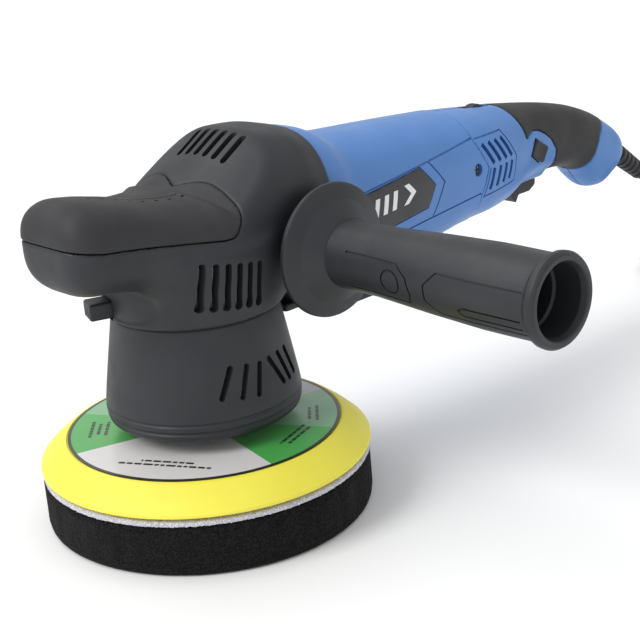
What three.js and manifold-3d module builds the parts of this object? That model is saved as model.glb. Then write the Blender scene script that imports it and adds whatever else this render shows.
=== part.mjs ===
// Dual action polisher: a corded hand tool that turns a round foam pad and swings it in a small orbit.
// Millimetres, +Z up. The origin is on the spindle axis at the pad's working face, +X points back to
// the rear handle and the side handle points to -Y.
import * as THREE from 'three';
import { mergeVertices } from 'three/addons/utils/BufferGeometryUtils.js';
import Module from 'manifold-3d';

const wasm = await Module();
wasm.setup();

// ---------------------------------------------------------------- driving dimensions
const GAP = 0.3;                        // clearance between neighbouring pieces
const MOTOR_Z = 122;                    // height of the motor axis

const ORBIT_RADIUS = 4;                 // throw of the pad axis about the spindle
const ORBIT_ANGLE = (-5 / 6) * Math.PI;  // where the pad axis stands when the tool is at rest
const PAD_RADIUS = 75;
const FOAM_TOP = 22;
const LOOP_TOP = 25;
const HOOK_TOP = 26.8;
const PLATE_TOP = 39.8;
const LABEL_RADIUS = 63.8;
const HUB_RADIUS = 17;

const SKIRT_BOTTOM = 46;
const SKIRT_TOP = 97.7;
const SKIRT_WALL = 3;
const COLLAR_RADIUS = 41;
const COLLAR_TOP = 118;

const GEAR_TEETH = 28;
const PINION_TEETH = 7;
const GEAR_PITCH_RADIUS = 22;
const TOOTH_INNER_SCALE = 0.7;          // inner end of the tooth face, as a share of the outer cone

const HEAD_FRONT = -80.5;
const HEAD_REAR = 55.5;
const HEAD_WALL = 4.5;
const PALM_GRIP_SKIN = 2.2;
const MOTOR_FRONT = 55.9;
const MOTOR_REAR = 165;
const MOTOR_WALL = 3;
const HANDLE_FRONT = 165.4;
const HANDLE_REAR = 321;
const HANDLE_WALL = 4.4;
const OVERMOLD_SKIN = 2;

const SIDE_HANDLE_X = 43;
const SIDE_HANDLE_Z = 119.5;
const BOSS_END = 43.5;                  // distance of each handle boss face from the centre plane
const BOSS_RADIUS = 9;
const STUD_RADIUS = 4;
const SIDE_HANDLE_END = 178;

const BRUSH_X = 166;
const MOTOR_SCREW_X = 160;
const MOTOR_SCREW_Z = 126;
const LOCK_ANGLE = THREE.MathUtils.degToRad(158.3);   // direction of the spindle lock around the head
const LOCK_Z = 103.5;
const LOCK_TRAVEL = 4;
const BUTTON_X = 227;
const BUTTON_Z = 122.2;
const BUTTON_TURN = 32;                 // the square lock button stands at an angle, in degrees
const BUTTON_HALF = 5;
const DIAL_X = 199;
const DIAL_Z = 142.5;
const DIAL_RADIUS = 9;

const CORD_RADIUS = 3.8;
const CORD_FLOOR_Z = 3.9;
const BOOT_START = new THREE.Vector3(318, 0, 103);
const BOOT_SLOPE = 0.6;                // how far the strain relief points down, in radians
const BOOT_LENGTH = 40;
const CORD_IN_BOOT = 20;
const COIL_CENTRE = new THREE.Vector2(448, -20);
const COIL_INNER = 33.4;
const COIL_OUTER = 57;
const COIL_HEIGHT = 23;
const COIL_LEAD_RADIUS = 53;            // radius of the outermost turn's centreline

// ---------------------------------------------------------------- materials
function look(color, roughness, metalness = 0) {
  return new THREE.MeshStandardMaterial({ color, roughness, metalness });
}

const looks = {
  blue: look('#3f78c8', 0.5),
  black: look('#2b2c2f', 0.62),
  soft: look('#3a3b3d', 0.85),
  yellow: look('#efe63a', 0.6),
  label: look('#59b35c', 0.45),
  foam: look('#1d1c1f', 0.98),
  fleece: look('#d9d7e2', 0.95),
  hook: look('#17171a', 0.9),
  steel: look('#9a9c9f', 0.32, 1),
  darkSteel: look('#55575b', 0.45, 1),
  aluminium: look('#b5b8bb', 0.5, 1),
  copper: look('#b4622d', 0.4, 1),
  brass: look('#c2a24b', 0.35, 1),
  carbon: look('#222326', 0.8),
  nylon: look('#6c6f74', 0.6),
  rubber: look('#151517', 0.85),
  badge: look('#303236', 0.4),
};

// ---------------------------------------------------------------- solid helpers
function toSolid(geometry) {
  const bare = geometry.index ? geometry.clone() : geometry;
  bare.deleteAttribute('normal');
  bare.deleteAttribute('uv');
  const merged = mergeVertices(bare, 1e-4);
  const corners = merged.index.array;
  const kept = [];
  for (let i = 0; i < corners.length; i += 3) {
    const [a, b, c] = [corners[i], corners[i + 1], corners[i + 2]];
    if (a !== b && b !== c && c !== a) kept.push(a, b, c);
  }
  const vertProperties = new Float32Array(merged.attributes.position.array);
  const triVerts = new Uint32Array(kept);
  return new wasm.Manifold(new wasm.Mesh({ numProp: 3, vertProperties, triVerts }));
}

function toGeometry(solid) {
  const { vertProperties, triVerts } = solid.getMesh();
  const geometry = new THREE.BufferGeometry();
  geometry.setAttribute('position', new THREE.BufferAttribute(new Float32Array(vertProperties), 3));
  geometry.setIndex(new THREE.BufferAttribute(new Uint32Array(triVerts), 1));
  geometry.computeVertexNormals();
  return geometry;
}

const join = (...solids) => solids.reduce((whole, piece) => whole.add(piece));
const cut = (body, ...tools) => tools.reduce((rest, tool) => rest.subtract(tool), body);

// The main body of a cut solid, without the crumbs that a cut leaves.
function largest(solid) {
  return solid.decompose().reduce((best, piece) => (piece.volume() > best.volume() ? piece : best));
}

// A turned solid about +Z from [radius, height] pairs that run up the outside.
function turned(profile, segments = 18) {
  const points = profile.map(([radius, height]) => new THREE.Vector2(radius, height));
  return toSolid(new THREE.LatheGeometry(points, segments).rotateX(Math.PI / 2));
}

// A turned ring with a rectangular section about +Z.
function ring(inner, outer, low, high, segments = 18) {
  return turned([[inner, low], [outer, low], [outer, high], [inner, high], [inner, low]], segments);
}

function disc(radius, low, high, segments = 18) {
  return turned([[0, low], [radius, low], [radius, high], [0, high]], segments);
}

// Stands a solid made about +Z along the motor axis, so its heights become distances along +X.
const alongMotor = (solid) => solid.rotate([0, 90, 0]).translate([0, 0, MOTOR_Z]);

// Lays a solid made about +Z along +Y, through the point (x, z).
const alongY = (solid, x, z) => solid.rotate([-90, 0, 0]).translate([x, 0, z]);

function block(low, high) {
  const size = high.map((value, i) => value - low[i]);
  const middle = high.map((value, i) => (value + low[i]) / 2);
  return toSolid(new THREE.BoxGeometry(...size)).translate(middle);
}

// A flat outline of [a, b] pairs pushed along +Z from low to high.
function pushed(outline, low, high) {
  const shape = new THREE.Shape(outline.map(([a, b]) => new THREE.Vector2(a, b)));
  const geometry = new THREE.ExtrudeGeometry(shape, { depth: high - low, bevelEnabled: false });
  return toSolid(geometry).translate([0, 0, low]);
}

// Moves every edge of a closed outline outwards by a distance.
function widened(outline, distance) {
  const count = outline.length;
  const turn = Math.sign(THREE.ShapeUtils.area(outline.map(([a, b]) => new THREE.Vector2(a, b))));
  return outline.map(([a, b], i) => {
    const [aBefore, bBefore] = outline[(i + count - 1) % count];
    const [aAfter, bAfter] = outline[(i + 1) % count];
    const before = new THREE.Vector2(b - bBefore, aBefore - a).normalize();
    const after = new THREE.Vector2(bAfter - b, a - aAfter).normalize();
    const corner = before.clone().add(after).multiplyScalar((turn * distance) / (1 + before.dot(after)));
    return [a + corner.x, b + corner.y];
  });
}

// A side-view outline of [x, z] pairs given a width across Y.
const sideOutline = (outline, low, high) => pushed(outline, -high, -low).rotate([90, 0, 0]);

// A sector of a ring, as an outline in the plane across an axis.
function sector(inner, outer, from, to, steps = 8) {
  const arc = (radius, a, b) => Array.from({ length: steps + 1 }, (_, i) => {
    const angle = a + ((b - a) * i) / steps;
    return [radius * Math.cos(angle), radius * Math.sin(angle)];
  });
  return [...arc(outer, from, to), ...arc(inner, to, from)];
}

// A housing skinned over rounded sections across X. Each station is
// [x, top, bottom, half width]; "square" is the superellipse power, "grow" moves the skin outwards.
function skinned(stations, { square = 2.8, grow = 0, sides = 16, endGrow = grow } = {}) {
  const positions = [];
  const corners = [];
  const last = stations.length - 1;
  stations.forEach(([x, top, bottom, half], row) => {
    const shift = endGrow * ((2 * row) / last - 1);
    for (let i = 0; i < sides; i += 1) {
      const angle = (2 * Math.PI * i) / sides;
      const round = (value) => Math.sign(value) * Math.abs(value) ** (2 / square);
      const y = (half + grow) * round(Math.cos(angle));
      const z = (top + bottom) / 2 + ((top - bottom) / 2 + grow) * round(Math.sin(angle));
      positions.push(x + shift, y, z);
    }
  });
  for (let row = 0; row < last; row += 1) {
    for (let i = 0; i < sides; i += 1) {
      const next = (i + 1) % sides;
      const [a, b] = [row * sides + i, row * sides + next];
      corners.push(a, b, b + sides, a, b + sides, a + sides);
    }
  }
  for (let i = 1; i < sides - 1; i += 1) {
    corners.push(0, i + 1, i);
    corners.push(last * sides, last * sides + i, last * sides + i + 1);
  }
  const geometry = new THREE.BufferGeometry();
  geometry.setAttribute('position', new THREE.Float32BufferAttribute(positions, 3));
  geometry.setIndex(corners);
  return toSolid(geometry);
}

// ---------------------------------------------------------------- scene graph
const polisher = new THREE.Group();
const padGroup = new THREE.Group();
padGroup.position.set(ORBIT_RADIUS * Math.cos(ORBIT_ANGLE), ORBIT_RADIUS * Math.sin(ORBIT_ANGLE), 0);
polisher.add(padGroup);

function place(name, solid, material, group = polisher) {
  const mesh = new THREE.Mesh(toGeometry(solid), material);
  mesh.name = name;
  group.add(mesh);
  return mesh;
}

// ---------------------------------------------------------------- pad and backing plate
function foamPad() {
  return turned([
    [0, 0], [72.5, 0], [PAD_RADIUS, 2.5], [PAD_RADIUS, 19.5], [73.5, FOAM_TOP], [0, FOAM_TOP],
  ], 32);
}

function backingPlate() {
  const low = HOOK_TOP + GAP;
  return turned([
    [HUB_RADIUS + GAP, low], [74.4, low], [75.2, low + 1], [74.9, low + 2.4], [64.5, PLATE_TOP],
    [LABEL_RADIUS + 0.5, PLATE_TOP - 0.6], [HUB_RADIUS + GAP, PLATE_TOP - 0.6], [HUB_RADIUS + GAP, low],
  ], 32);
}

function plateHub() {
  const low = HOOK_TOP + GAP;
  return turned([
    [0, low], [HUB_RADIUS, low], [HUB_RADIUS, 39], [11, 39], [11, 42],
    [STUD_RADIUS + GAP, 42], [STUD_RADIUS + GAP, 31], [0, 31],
  ]);
}

function outputSpindle() {
  return turned([
    [0, 31 + GAP], [STUD_RADIUS, 31 + GAP], [STUD_RADIUS, 42 + GAP], [10, 42 + GAP], [10, 46], [8, 46],
    [8, 50], [6, 50], [6, 66.2], [0, 66.2],
  ]);
}

place('foam_pad', foamPad(), looks.foam, padGroup);
place('loop_backing', disc(74.6, FOAM_TOP + GAP, LOOP_TOP, 32), looks.fleece, padGroup);
place('hook_face', disc(74, LOOP_TOP + GAP, HOOK_TOP, 32), looks.hook, padGroup);
place('backing_plate', backingPlate(), looks.yellow, padGroup);
place('plate_label', ring(18.2, LABEL_RADIUS, PLATE_TOP - 0.3, PLATE_TOP + 0.3, 28), looks.label, padGroup);
place('plate_hub', plateHub(), looks.darkSteel, padGroup);
place('output_spindle', outputSpindle(), looks.steel, padGroup);

// ---------------------------------------------------------------- orbiting drive
const CUP_TOP = 68.3;
const [cupX, cupY] = [padGroup.position.x, padGroup.position.y];

// An eccentric cup for the orbit bearing, with a weight on the far side and a keyed socket above.
function counterweight() {
  const cup = disc(19, 50.5, CUP_TOP, 24).translate([cupX, cupY, 0]);
  const away = ORBIT_ANGLE + Math.PI;
  const weight = pushed(sector(12, 34, away - 1.15, away + 1.15), 53, CUP_TOP);
  const web = disc(17, CUP_TOP - 1, 74, 20);
  const socket = disc(10, 74 - 1, 80, 16);
  const bearingSeat = disc(14 + GAP, 49, CUP_TOP - 1.6, 24).translate([cupX, cupY, 0]);
  const shaftHole = disc(6 + GAP, CUP_TOP + 1.7, 81, 16);
  return cut(join(cup, weight, web, socket), bearingSeat, shaftHole);
}

function spindleShaft() {
  return turned([
    [0, CUP_TOP + 2], [6, CUP_TOP + 2], [6, 80.6], [7.5, 80.6], [7.5, 96], [6, 96], [6, 127],
    [5, 127], [5, 140], [0, 140],
  ], 16);
}

// One straight bevel tooth, pointing away from the blank. All its edges run to the cone's apex at
// the origin; the tooth stands across the local direction "out" on the plane through the pitch line.
function bevelTooth(pitchLine, out, side, thickness, addendum, dedendum) {
  const slope = Math.tan(THREE.MathUtils.degToRad(24));
  const half = thickness / 2;
  const levels = [[-dedendum, half + dedendum * slope], [addendum, half - addendum * slope]];
  const face = [];
  for (const [height, reach] of levels) {
    for (const sign of [-1, 1]) {
      face.push(pitchLine.clone().addScaledVector(out, height).addScaledVector(side, sign * reach));
    }
  }
  const inner = face.map((point) => point.clone().multiplyScalar(TOOTH_INNER_SCALE));
  const positions = [...face, ...inner].flatMap((point) => point.toArray());
  const corners = [
    0, 1, 3, 0, 3, 2, 4, 7, 5, 4, 6, 7, 0, 5, 1, 0, 4, 5,
    2, 3, 7, 2, 7, 6, 0, 2, 6, 0, 6, 4, 1, 5, 7, 1, 7, 3,
  ];
  const geometry = new THREE.BufferGeometry();
  geometry.setAttribute('position', new THREE.Float32BufferAttribute(positions, 3));
  geometry.setIndex(corners);
  return toSolid(geometry);
}

const PINION_PITCH_RADIUS = (GEAR_PITCH_RADIUS * PINION_TEETH) / GEAR_TEETH;
const toothPitch = (2 * Math.PI * GEAR_PITCH_RADIUS) / GEAR_TEETH;
const toothModule = (2 * GEAR_PITCH_RADIUS) / GEAR_TEETH;
const coneLength = Math.hypot(GEAR_PITCH_RADIUS, PINION_PITCH_RADIUS);
const pitchPoint = new THREE.Vector3(GEAR_PITCH_RADIUS, 0, -PINION_PITCH_RADIUS);
const coneNormal = new THREE.Vector3(PINION_PITCH_RADIUS, 0, GEAR_PITCH_RADIUS).normalize();
const across = new THREE.Vector3(0, 1, 0);
const toothThickness = 0.36 * toothPitch;
const addendum = 0.75 * toothModule;
const dedendum = 1.15 * toothModule;

// Gear axis along Z, apex at the origin; the blank's cone lies just under the tooth roots.
function bevelGear() {
  const rootOuter = pitchPoint.clone().addScaledVector(coneNormal, -dedendum * 0.85);
  const rootInner = rootOuter.clone().multiplyScalar(TOOTH_INNER_SCALE);
  const rim = rootOuter.clone().multiplyScalar(1.04);
  const heel = rootInner.clone().multiplyScalar(0.96);
  let gear = turned([
    [6 + GAP, 97 - MOTOR_Z], [16, 97 - MOTOR_Z], [16, 106 - MOTOR_Z], [rim.x, 109 - MOTOR_Z],
    [rim.x, rim.z], [heel.x, heel.z], [6 + GAP, heel.z], [6 + GAP, 97 - MOTOR_Z],
  ], GEAR_TEETH);
  const tooth = bevelTooth(pitchPoint, coneNormal, across, toothThickness, addendum, dedendum);
  for (let i = 0; i < GEAR_TEETH; i += 1) {
    gear = gear.add(tooth.rotate([0, 0, ((i + 0.5) * 360) / GEAR_TEETH]));
  }
  const notch = block([12.7, -3.6, 96 - MOTOR_Z], [18, 3.6, 106.6 - MOTOR_Z]);
  for (let i = 0; i < 4; i += 1) {
    gear = gear.subtract(notch.rotate([0, 0, THREE.MathUtils.radToDeg(LOCK_ANGLE) + i * 90]));
  }
  return gear.translate([0, 0, MOTOR_Z]);
}

function bevelPinion() {
  const rootOuter = pitchPoint.clone().addScaledVector(coneNormal, dedendum * 0.85);
  const rim = rootOuter.clone().multiplyScalar(1.04);
  const heel = rootOuter.clone().multiplyScalar(0.96 * TOOTH_INNER_SCALE);
  let pinion = turned([
    [0, heel.x], [-heel.z, heel.x], [-rim.z, rim.x], [5, 31], [2.5 + GAP, 31], [2.5 + GAP, 22], [0, 22],
  ], 2 * PINION_TEETH).rotate([0, 90, 0]);
  const tooth = bevelTooth(pitchPoint, coneNormal.clone().negate(), across.clone().negate(),
    toothThickness, addendum, dedendum);
  for (let i = 0; i < PINION_TEETH; i += 1) {
    pinion = pinion.add(tooth.rotate([(i * 360) / PINION_TEETH, 0, 0]));
  }
  return pinion.translate([0, 0, MOTOR_Z]);
}

place('counterweight', counterweight(), looks.darkSteel);
place('orbit_bearing', ring(6 + GAP, 14, 50.8, 66.4, 24).translate([cupX, cupY, 0]), looks.steel);
place('spindle_shaft', spindleShaft(), looks.steel);
place('bevel_gear', bevelGear(), looks.darkSteel);

// ---------------------------------------------------------------- motor armature
const CORE_FRONT = 84;
const CORE_REAR = 128;
const SLOTS = 12;

function armatureCore() {
  const slot = [[13, -0.14], [13, 0.14], [21.4, 0.11], [22.8, 0.05], [22.8, 0.47], [21.4, 0.41]];
  const outline = [];
  for (let i = 0; i < SLOTS; i += 1) {
    const middle = (2 * Math.PI * i) / SLOTS;
    for (const [radius, offset] of slot) {
      outline.push([radius * Math.cos(middle + offset), radius * Math.sin(middle + offset)]);
    }
  }
  const bore = disc(5 + GAP, CORE_FRONT - 1, CORE_REAR + 1, 20);
  return alongMotor(cut(pushed(outline, CORE_FRONT, CORE_REAR), bore));
}

// Copper bars lie in the core's slots and join in a bundle at each end.
function armatureWindings() {
  const bundle = (low, high) => ring(6, 20, low, high, SLOTS);
  const bar = block([14, -1.3, CORE_FRONT - 1], [19, 1.3, CORE_REAR + 1]);
  let windings = join(bundle(CORE_FRONT - 11, CORE_FRONT - GAP), bundle(CORE_REAR + GAP, CORE_REAR + 11));
  for (let i = 0; i < SLOTS; i += 1) windings = windings.add(bar.rotate([0, 0, (360 * i) / SLOTS]));
  return alongMotor(windings);
}

function coolingFan() {
  let fan = join(ring(5 + GAP, 9, 64, 72), ring(8.5, 29, 70.6, 72, 18));
  const blade = block([8.6, -0.8, 63.8], [28.4, 0.8, 71]).rotate([0, 0, 12]);
  for (let i = 0; i < 9; i += 1) fan = fan.add(blade.rotate([0, 0, 40 * i]));
  return alongMotor(fan);
}

function armatureShaft() {
  return alongMotor(turned([
    [0, 22 + GAP], [2.5, 22 + GAP], [2.5, 31.5], [5, 31.5], [5, 176], [3.5, 176], [3.5, 187], [0, 187],
  ], 16));
}

place('bevel_pinion', bevelPinion(), looks.steel);
place('armature_shaft', armatureShaft(), looks.steel);
place('armature_core', armatureCore(), looks.darkSteel);
place('armature_windings', armatureWindings(), looks.copper);
place('commutator', alongMotor(ring(5 + GAP, 11, 157, 175)), looks.copper);
place('cooling_fan', coolingFan(), looks.nylon);

// ---------------------------------------------------------------- gear case and bearings
const NECK_RADIUS = 18.5;
const NECK_END = 52;

function gearCase() {
  const boss = alongY(disc(BOSS_RADIUS, 12, BOSS_END, 16), 0, 0);
  const studHole = alongY(disc(STUD_RADIUS + GAP, 26, BOSS_END + 1, 12), 0, 0);
  const toSide = (solid, turn) => solid.rotate([0, 0, turn]).translate([SIDE_HANDLE_X, 0, SIDE_HANDLE_Z]);
  const bosses = [0, 180].map((turn) => toSide(boss, turn));
  const holes = [0, 180].map((turn) => toSide(studHole, turn));
  const pot = turned([
    [0, 80], [20, 80], [22, 84], [22, 95], [31, 99], [31, 128], [22, 142], [16, 146], [0, 146],
  ], 24);
  const neck = alongMotor(disc(NECK_RADIUS, 0, NECK_END, 20));
  const chamber = turned([[0, 97], [20, 97], [28, 100], [28, 128], [19, 138], [0, 138]], 24);
  const tunnel = alongMotor(disc(NECK_RADIUS - 3.4, 0, NECK_END + 1, 20));
  const lowerSeat = disc(17.5 + GAP, 84, 98, 20);
  const lowerHole = disc(9, 79, 98, 16);
  const upperSeat = disc(13 + GAP, 132, 142, 18);
  const lockHole = disc(4, 10, 50, 10).rotate([0, 90, 0])
    .rotate([0, 0, THREE.MathUtils.radToDeg(LOCK_ANGLE)]).translate([0, 0, LOCK_Z]);
  const outside = join(pot, neck, ...bosses);
  return cut(outside, chamber, tunnel, lowerSeat, lowerHole, upperSeat, lockHole, ...holes);
}

function bearingPlate() {
  return alongMotor(turned([
    [5.8, NECK_END + GAP], [23, NECK_END + GAP], [31, 56], [31, 60], [16, 60], [16, 63], [13 + GAP, 63],
    [13 + GAP, 55.2], [5.8, 55.2], [5.8, NECK_END + GAP],
  ], 22));
}

place('gear_case', gearCase(), looks.aluminium);
place('bearing_plate', bearingPlate(), looks.aluminium);
place('dust_seal', ring(8.2, 17, 84 + GAP, 85.7), looks.rubber);
place('spindle_bearing_lower', ring(7.5 + GAP, 17.5, 86, 95.5), looks.steel);
place('spindle_bearing_upper', ring(5 + GAP, 13, 132.3, 140.5), looks.steel);
place('armature_bearing_front', alongMotor(ring(5 + GAP, 13, 55.5, 63)), looks.steel);
place('armature_bearing_rear', alongMotor(ring(3.5 + GAP, 9.5, 179, 186)), looks.steel);

// ---------------------------------------------------------------- head cover, palm grip and skirt
const headStations = [
  [HEAD_FRONT, 152.5, 130.5, 13], [-76.5, 158, 125.5, 19], [-69, 159, 123.8, 23.2], [-58, 158, 121.8, 25],
  [-42, 154.8, 118.5, 27],
  [-28, 153.5, 114.5, 32], [-13, 153.5, 110, 37], [4, 160.5, 106, 40], [20, 168.5, 101, 40.8],
  [38.5, 171, 98.4, 40.7], [44.5, 170.5, 88, 40.4], [HEAD_REAR, 168, 84, 39],
];

// Side view of the region that the soft palm grip covers, down to its seam.
const palmOutline = [
  [-100, 148], [-80, 145], [-62.5, 141.5], [-40, 138.8], [-19, 137], [-6, 135.8], [-1, 136.3], [1.8, 139.5],
  [4, 144], [4.9, 148.5], [3, 153], [-2, 158], [-4, 175], [-100, 175],
];

const palmZone = (margin) => sideOutline(widened(palmOutline, margin), -60, 60);

function lockOpening(halfWidth, low, high) {
  return block([20, -halfWidth, low], [60, halfWidth, high])
    .rotate([0, 0, THREE.MathUtils.radToDeg(LOCK_ANGLE)]);
}

function topVents() {
  return Array.from({ length: 6 }, (_, i) => {
    const y = (i - 2.5) * 6.2;
    return block([11, y - 1.5, 150], [25, y + 1.5, 180]);
  });
}

function sideVents() {
  const slot = block([-1.5, 20, -10.5], [1.5, 50, 10.5]).rotate([0, 3, 0]);
  return [-1, 1].flatMap((side) => Array.from({ length: 6 }, (_, i) => {
    const placed = side < 0 ? slot.mirror([0, 1, 0]) : slot;
    return placed.translate([-23.6 + 5.5 * i, 0, 117 - 0.8 * i]);
  }));
}

function headShell() {
  const collar = disc(COLLAR_RADIUS, SKIRT_TOP + GAP, COLLAR_TOP, 28);
  const lip = sideOutline([[48, 88], [48, 81], [88, 79.5], [92, 82.4], [55.3, 82.4], [53.5, 88]], -26, 26);
  return join(skinned(headStations), collar, lip);
}

function headCover() {
  const inside = skinned(headStations, { grow: -HEAD_WALL, endGrow: 0.1 })
    .intersect(block([HEAD_FRONT + HEAD_WALL, -60, 80], [HEAD_REAR + 5, 60, 180]));
  const rearMouth = skinned(headStations.slice(-2), { grow: -HEAD_WALL, endGrow: 3 })
    .intersect(block([50, -60, 60], [80, 60, 180]));
  const throat = disc(COLLAR_RADIUS - 3.4, SKIRT_TOP - 1, COLLAR_TOP + 8, 28)
    .intersect(block([-50, -50, 90], [50, 50, 130]));
  const recess = cut(palmZone(GAP), skinned(headStations, { grow: -(PALM_GRIP_SKIN + GAP) }));
  const bossHole = alongY(disc(BOSS_RADIUS + GAP, -60, 60, 20), SIDE_HANDLE_X, SIDE_HANDLE_Z);
  return cut(headShell(), inside, rearMouth, throat, recess, bossHole, lockOpening(6.4, 98.6, 108.6),
    ...topVents(), ...sideVents());
}

function palmGrip() {
  return cut(skinned(headStations), skinned(headStations, { grow: -PALM_GRIP_SKIN })).intersect(palmZone(0));
}

function skirt() {
  const outer = [[44.6, SKIRT_BOTTOM], [46, 48.5], [46.5, 52], [45.6, 60], [38.8, SKIRT_TOP]];
  const inner = outer.map(([radius, z]) => [radius - SKIRT_WALL, z]).reverse();
  const shell = turned([...outer, ...inner, outer[0]], 28);
  const slots = [-1, 1].flatMap((side) => Array.from({ length: 6 }, (_, i) => {
    const lean = i < 3 ? 16 + 3 * (2 - i) : -16 - 3 * (i - 3);
    const slot = block([-1.3, 30, -9], [1.3, 52, 9]).rotate([0, lean, 0]);
    const placed = slot.translate([-20.5 + 6 * i + (i > 2 ? 6.5 : 0), 0, 75]);
    return side < 0 ? placed.mirror([0, 1, 0]) : placed;
  }));
  return cut(shell, ...slots);
}

place('head_cover', headCover(), looks.black);
place('palm_grip', palmGrip(), looks.soft);
place('skirt', skirt(), looks.black);

// ---------------------------------------------------------------- motor housing
const motorStations = [
  [MOTOR_FRONT, 166, 83.4, 38.4], [67, 164.5, 83.6, 38], [76, 160.6, 84, 37],
  [100, 158.8, 86, 35.6], [120, 157.2, 88, 34.3],
  [140, 155.4, 90, 32.8], [MOTOR_REAR, 154, 92, 31],
];
const MOTOR_SQUARE = 2.6;
const badgeOutline = [[72, 134], [122, 137.5], [131, 127], [124, 117.5], [80, 113.5], [70, 122]];

function motorScrewHole() {
  return alongY(disc(3 + GAP, -45, 45, 12), MOTOR_SCREW_X, MOTOR_SCREW_Z);
}

function motorHousing() {
  const outside = skinned(motorStations, { square: MOTOR_SQUARE, endGrow: 0 });
  const inside = skinned(motorStations, { square: MOTOR_SQUARE, grow: -MOTOR_WALL, endGrow: 5 });
  return cut(outside, inside, motorScrewHole());
}

function badge(side) {
  const over = skinned(motorStations, { square: MOTOR_SQUARE, grow: 1.5 });
  const under = skinned(motorStations, { square: MOTOR_SQUARE, grow: GAP });
  const plate = side < 0 ? sideOutline(badgeOutline, -60, -10) : sideOutline(badgeOutline, 10, 60);
  return cut(over, under).intersect(plate);
}

// Laminated ring with two pole shoes, above and below the armature.
function stator() {
  const shell = ring(25.6, 29, 80, 132, 24);
  const pole = pushed(sector(23.6, 26, -0.72, 0.72), 80, 132);
  return alongMotor(join(shell, pole, pole.rotate([0, 0, 180])));
}

function fieldCoil(turn) {
  const loop = pushed(sector(23.7, 25, -1.1, 1.1), 74, 138);
  const window = pushed(sector(20, 30, -0.75, 0.75), 80 - GAP, 132 + GAP);
  return alongMotor(cut(loop, window).rotate([0, 0, turn]));
}

function brushHolder(side) {
  const tube = cut(block([-6, 15, -7], [6, 24.5, 7]), block([-4.3, 14, -5.3], [4.3, 29, 5.3]));
  return (side < 0 ? tube.mirror([0, 1, 0]) : tube).translate([BRUSH_X, 0, MOTOR_Z]);
}

function carbonBrush(side) {
  const brush = block([-4, 11 + GAP, -5], [4, 23, 5]);
  return (side < 0 ? brush.mirror([0, 1, 0]) : brush).translate([BRUSH_X, 0, MOTOR_Z]);
}

function motorScrew(side) {
  const screw = alongY(cut(disc(3, 27.5, 30.2, 12), block([-2, -0.5, 29.4], [2, 0.5, 32])), 0, 0);
  return (side < 0 ? screw.mirror([0, 1, 0]) : screw).translate([MOTOR_SCREW_X, 0, MOTOR_SCREW_Z]);
}

place('motor_housing', motorHousing(), looks.blue);
place('stator', stator(), looks.darkSteel);
place('field_coil_upper', fieldCoil(180), looks.copper);
place('field_coil_lower', fieldCoil(0), looks.copper);
for (const [word, side] of [['left', -1], ['right', 1]]) {
  place(`badge_${word}`, badge(side), looks.badge);
  place(`brush_holder_${word}`, brushHolder(side), looks.brass);
  place(`carbon_brush_${word}`, carbonBrush(side), looks.carbon);
  place(`motor_screw_${word}`, motorScrew(side), looks.darkSteel);
}

// ---------------------------------------------------------------- rear handle
const handleStations = [
  [HANDLE_FRONT, 154, 92, 31], [188, 151.6, 92, 29.2], [204, 149.5, 93.5, 25.5], [214, 148, 97.5, 23.5],
  [223, 146.6, 102.3, 21.6], [240, 144, 104.5, 19.4], [254, 141.3, 104, 18.2], [274, 136.6, 98, 17.1],
  [281, 134.4, 90, 16.8], [289, 131.8, 84.8, 16.5], [297, 128.5, 86.5, 16], [307, 123.8, 92.5, 14.8],
  [315, 119, 96.5, 12.6], [HANDLE_REAR, 113, 100, 8.5],
];
const overmoldOutline = [
  [212, 160], [212.5, 148], [213, 144.6], [215.2, 136.5], [216.2, 131], [224, 134], [230.4, 132.6],
  [235.5, 130], [241, 126], [246.3, 119], [248.5, 110], [250, 104], [251, 90], [268, 90], [272, 99],
  [279.3, 102.8], [285.3, 109.6], [291, 115], [296, 121], [303, 127], [309, 150], [300, 160],
];
const TRIGGER_FRONT = 215;
const TRIGGER_REAR = 242;
const TRIGGER_TOP = 104.6;

// Turns a solid made about +Z onto the strain relief's axis.
function bootAxis(solid) {
  const slope = THREE.MathUtils.radToDeg(BOOT_SLOPE);
  return solid.rotate([0, 90, 0]).rotate([0, slope, 0]).translate(BOOT_START.toArray());
}

function dialSlot(margin) {
  const reach = DIAL_RADIUS + 1;
  return block([DIAL_X - reach, -2.8 - margin, 130], [DIAL_X + reach, 2.8 + margin, 170]);
}

const toButton = (solid) => solid.rotate([0, BUTTON_TURN, 0]).translate([BUTTON_X, 0, BUTTON_Z]);

function buttonHole(margin) {
  const half = BUTTON_HALF + margin;
  return toButton(block([-half, -60, -half], [half, -8, half]));
}

// Stacked slots on each side of the handle's front end let the warm air out.
function rearVents() {
  const slots = [];
  for (let i = 0; i < 4; i += 1) {
    const x = 170.5 + 6.2 * i;
    const upper = [[x, 137.6], [x + 2.4, 137.6], [x + 8.6, 127], [x + 6.2, 127]];
    const lower = [[x + 6.2, 125], [x + 8.6, 125], [x + 4.6, 114.5], [x + 2.2, 114.5]];
    for (const slot of [upper, lower]) slots.push(sideOutline(slot, -60, -20), sideOutline(slot, 20, 60));
  }
  return slots;
}

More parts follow.
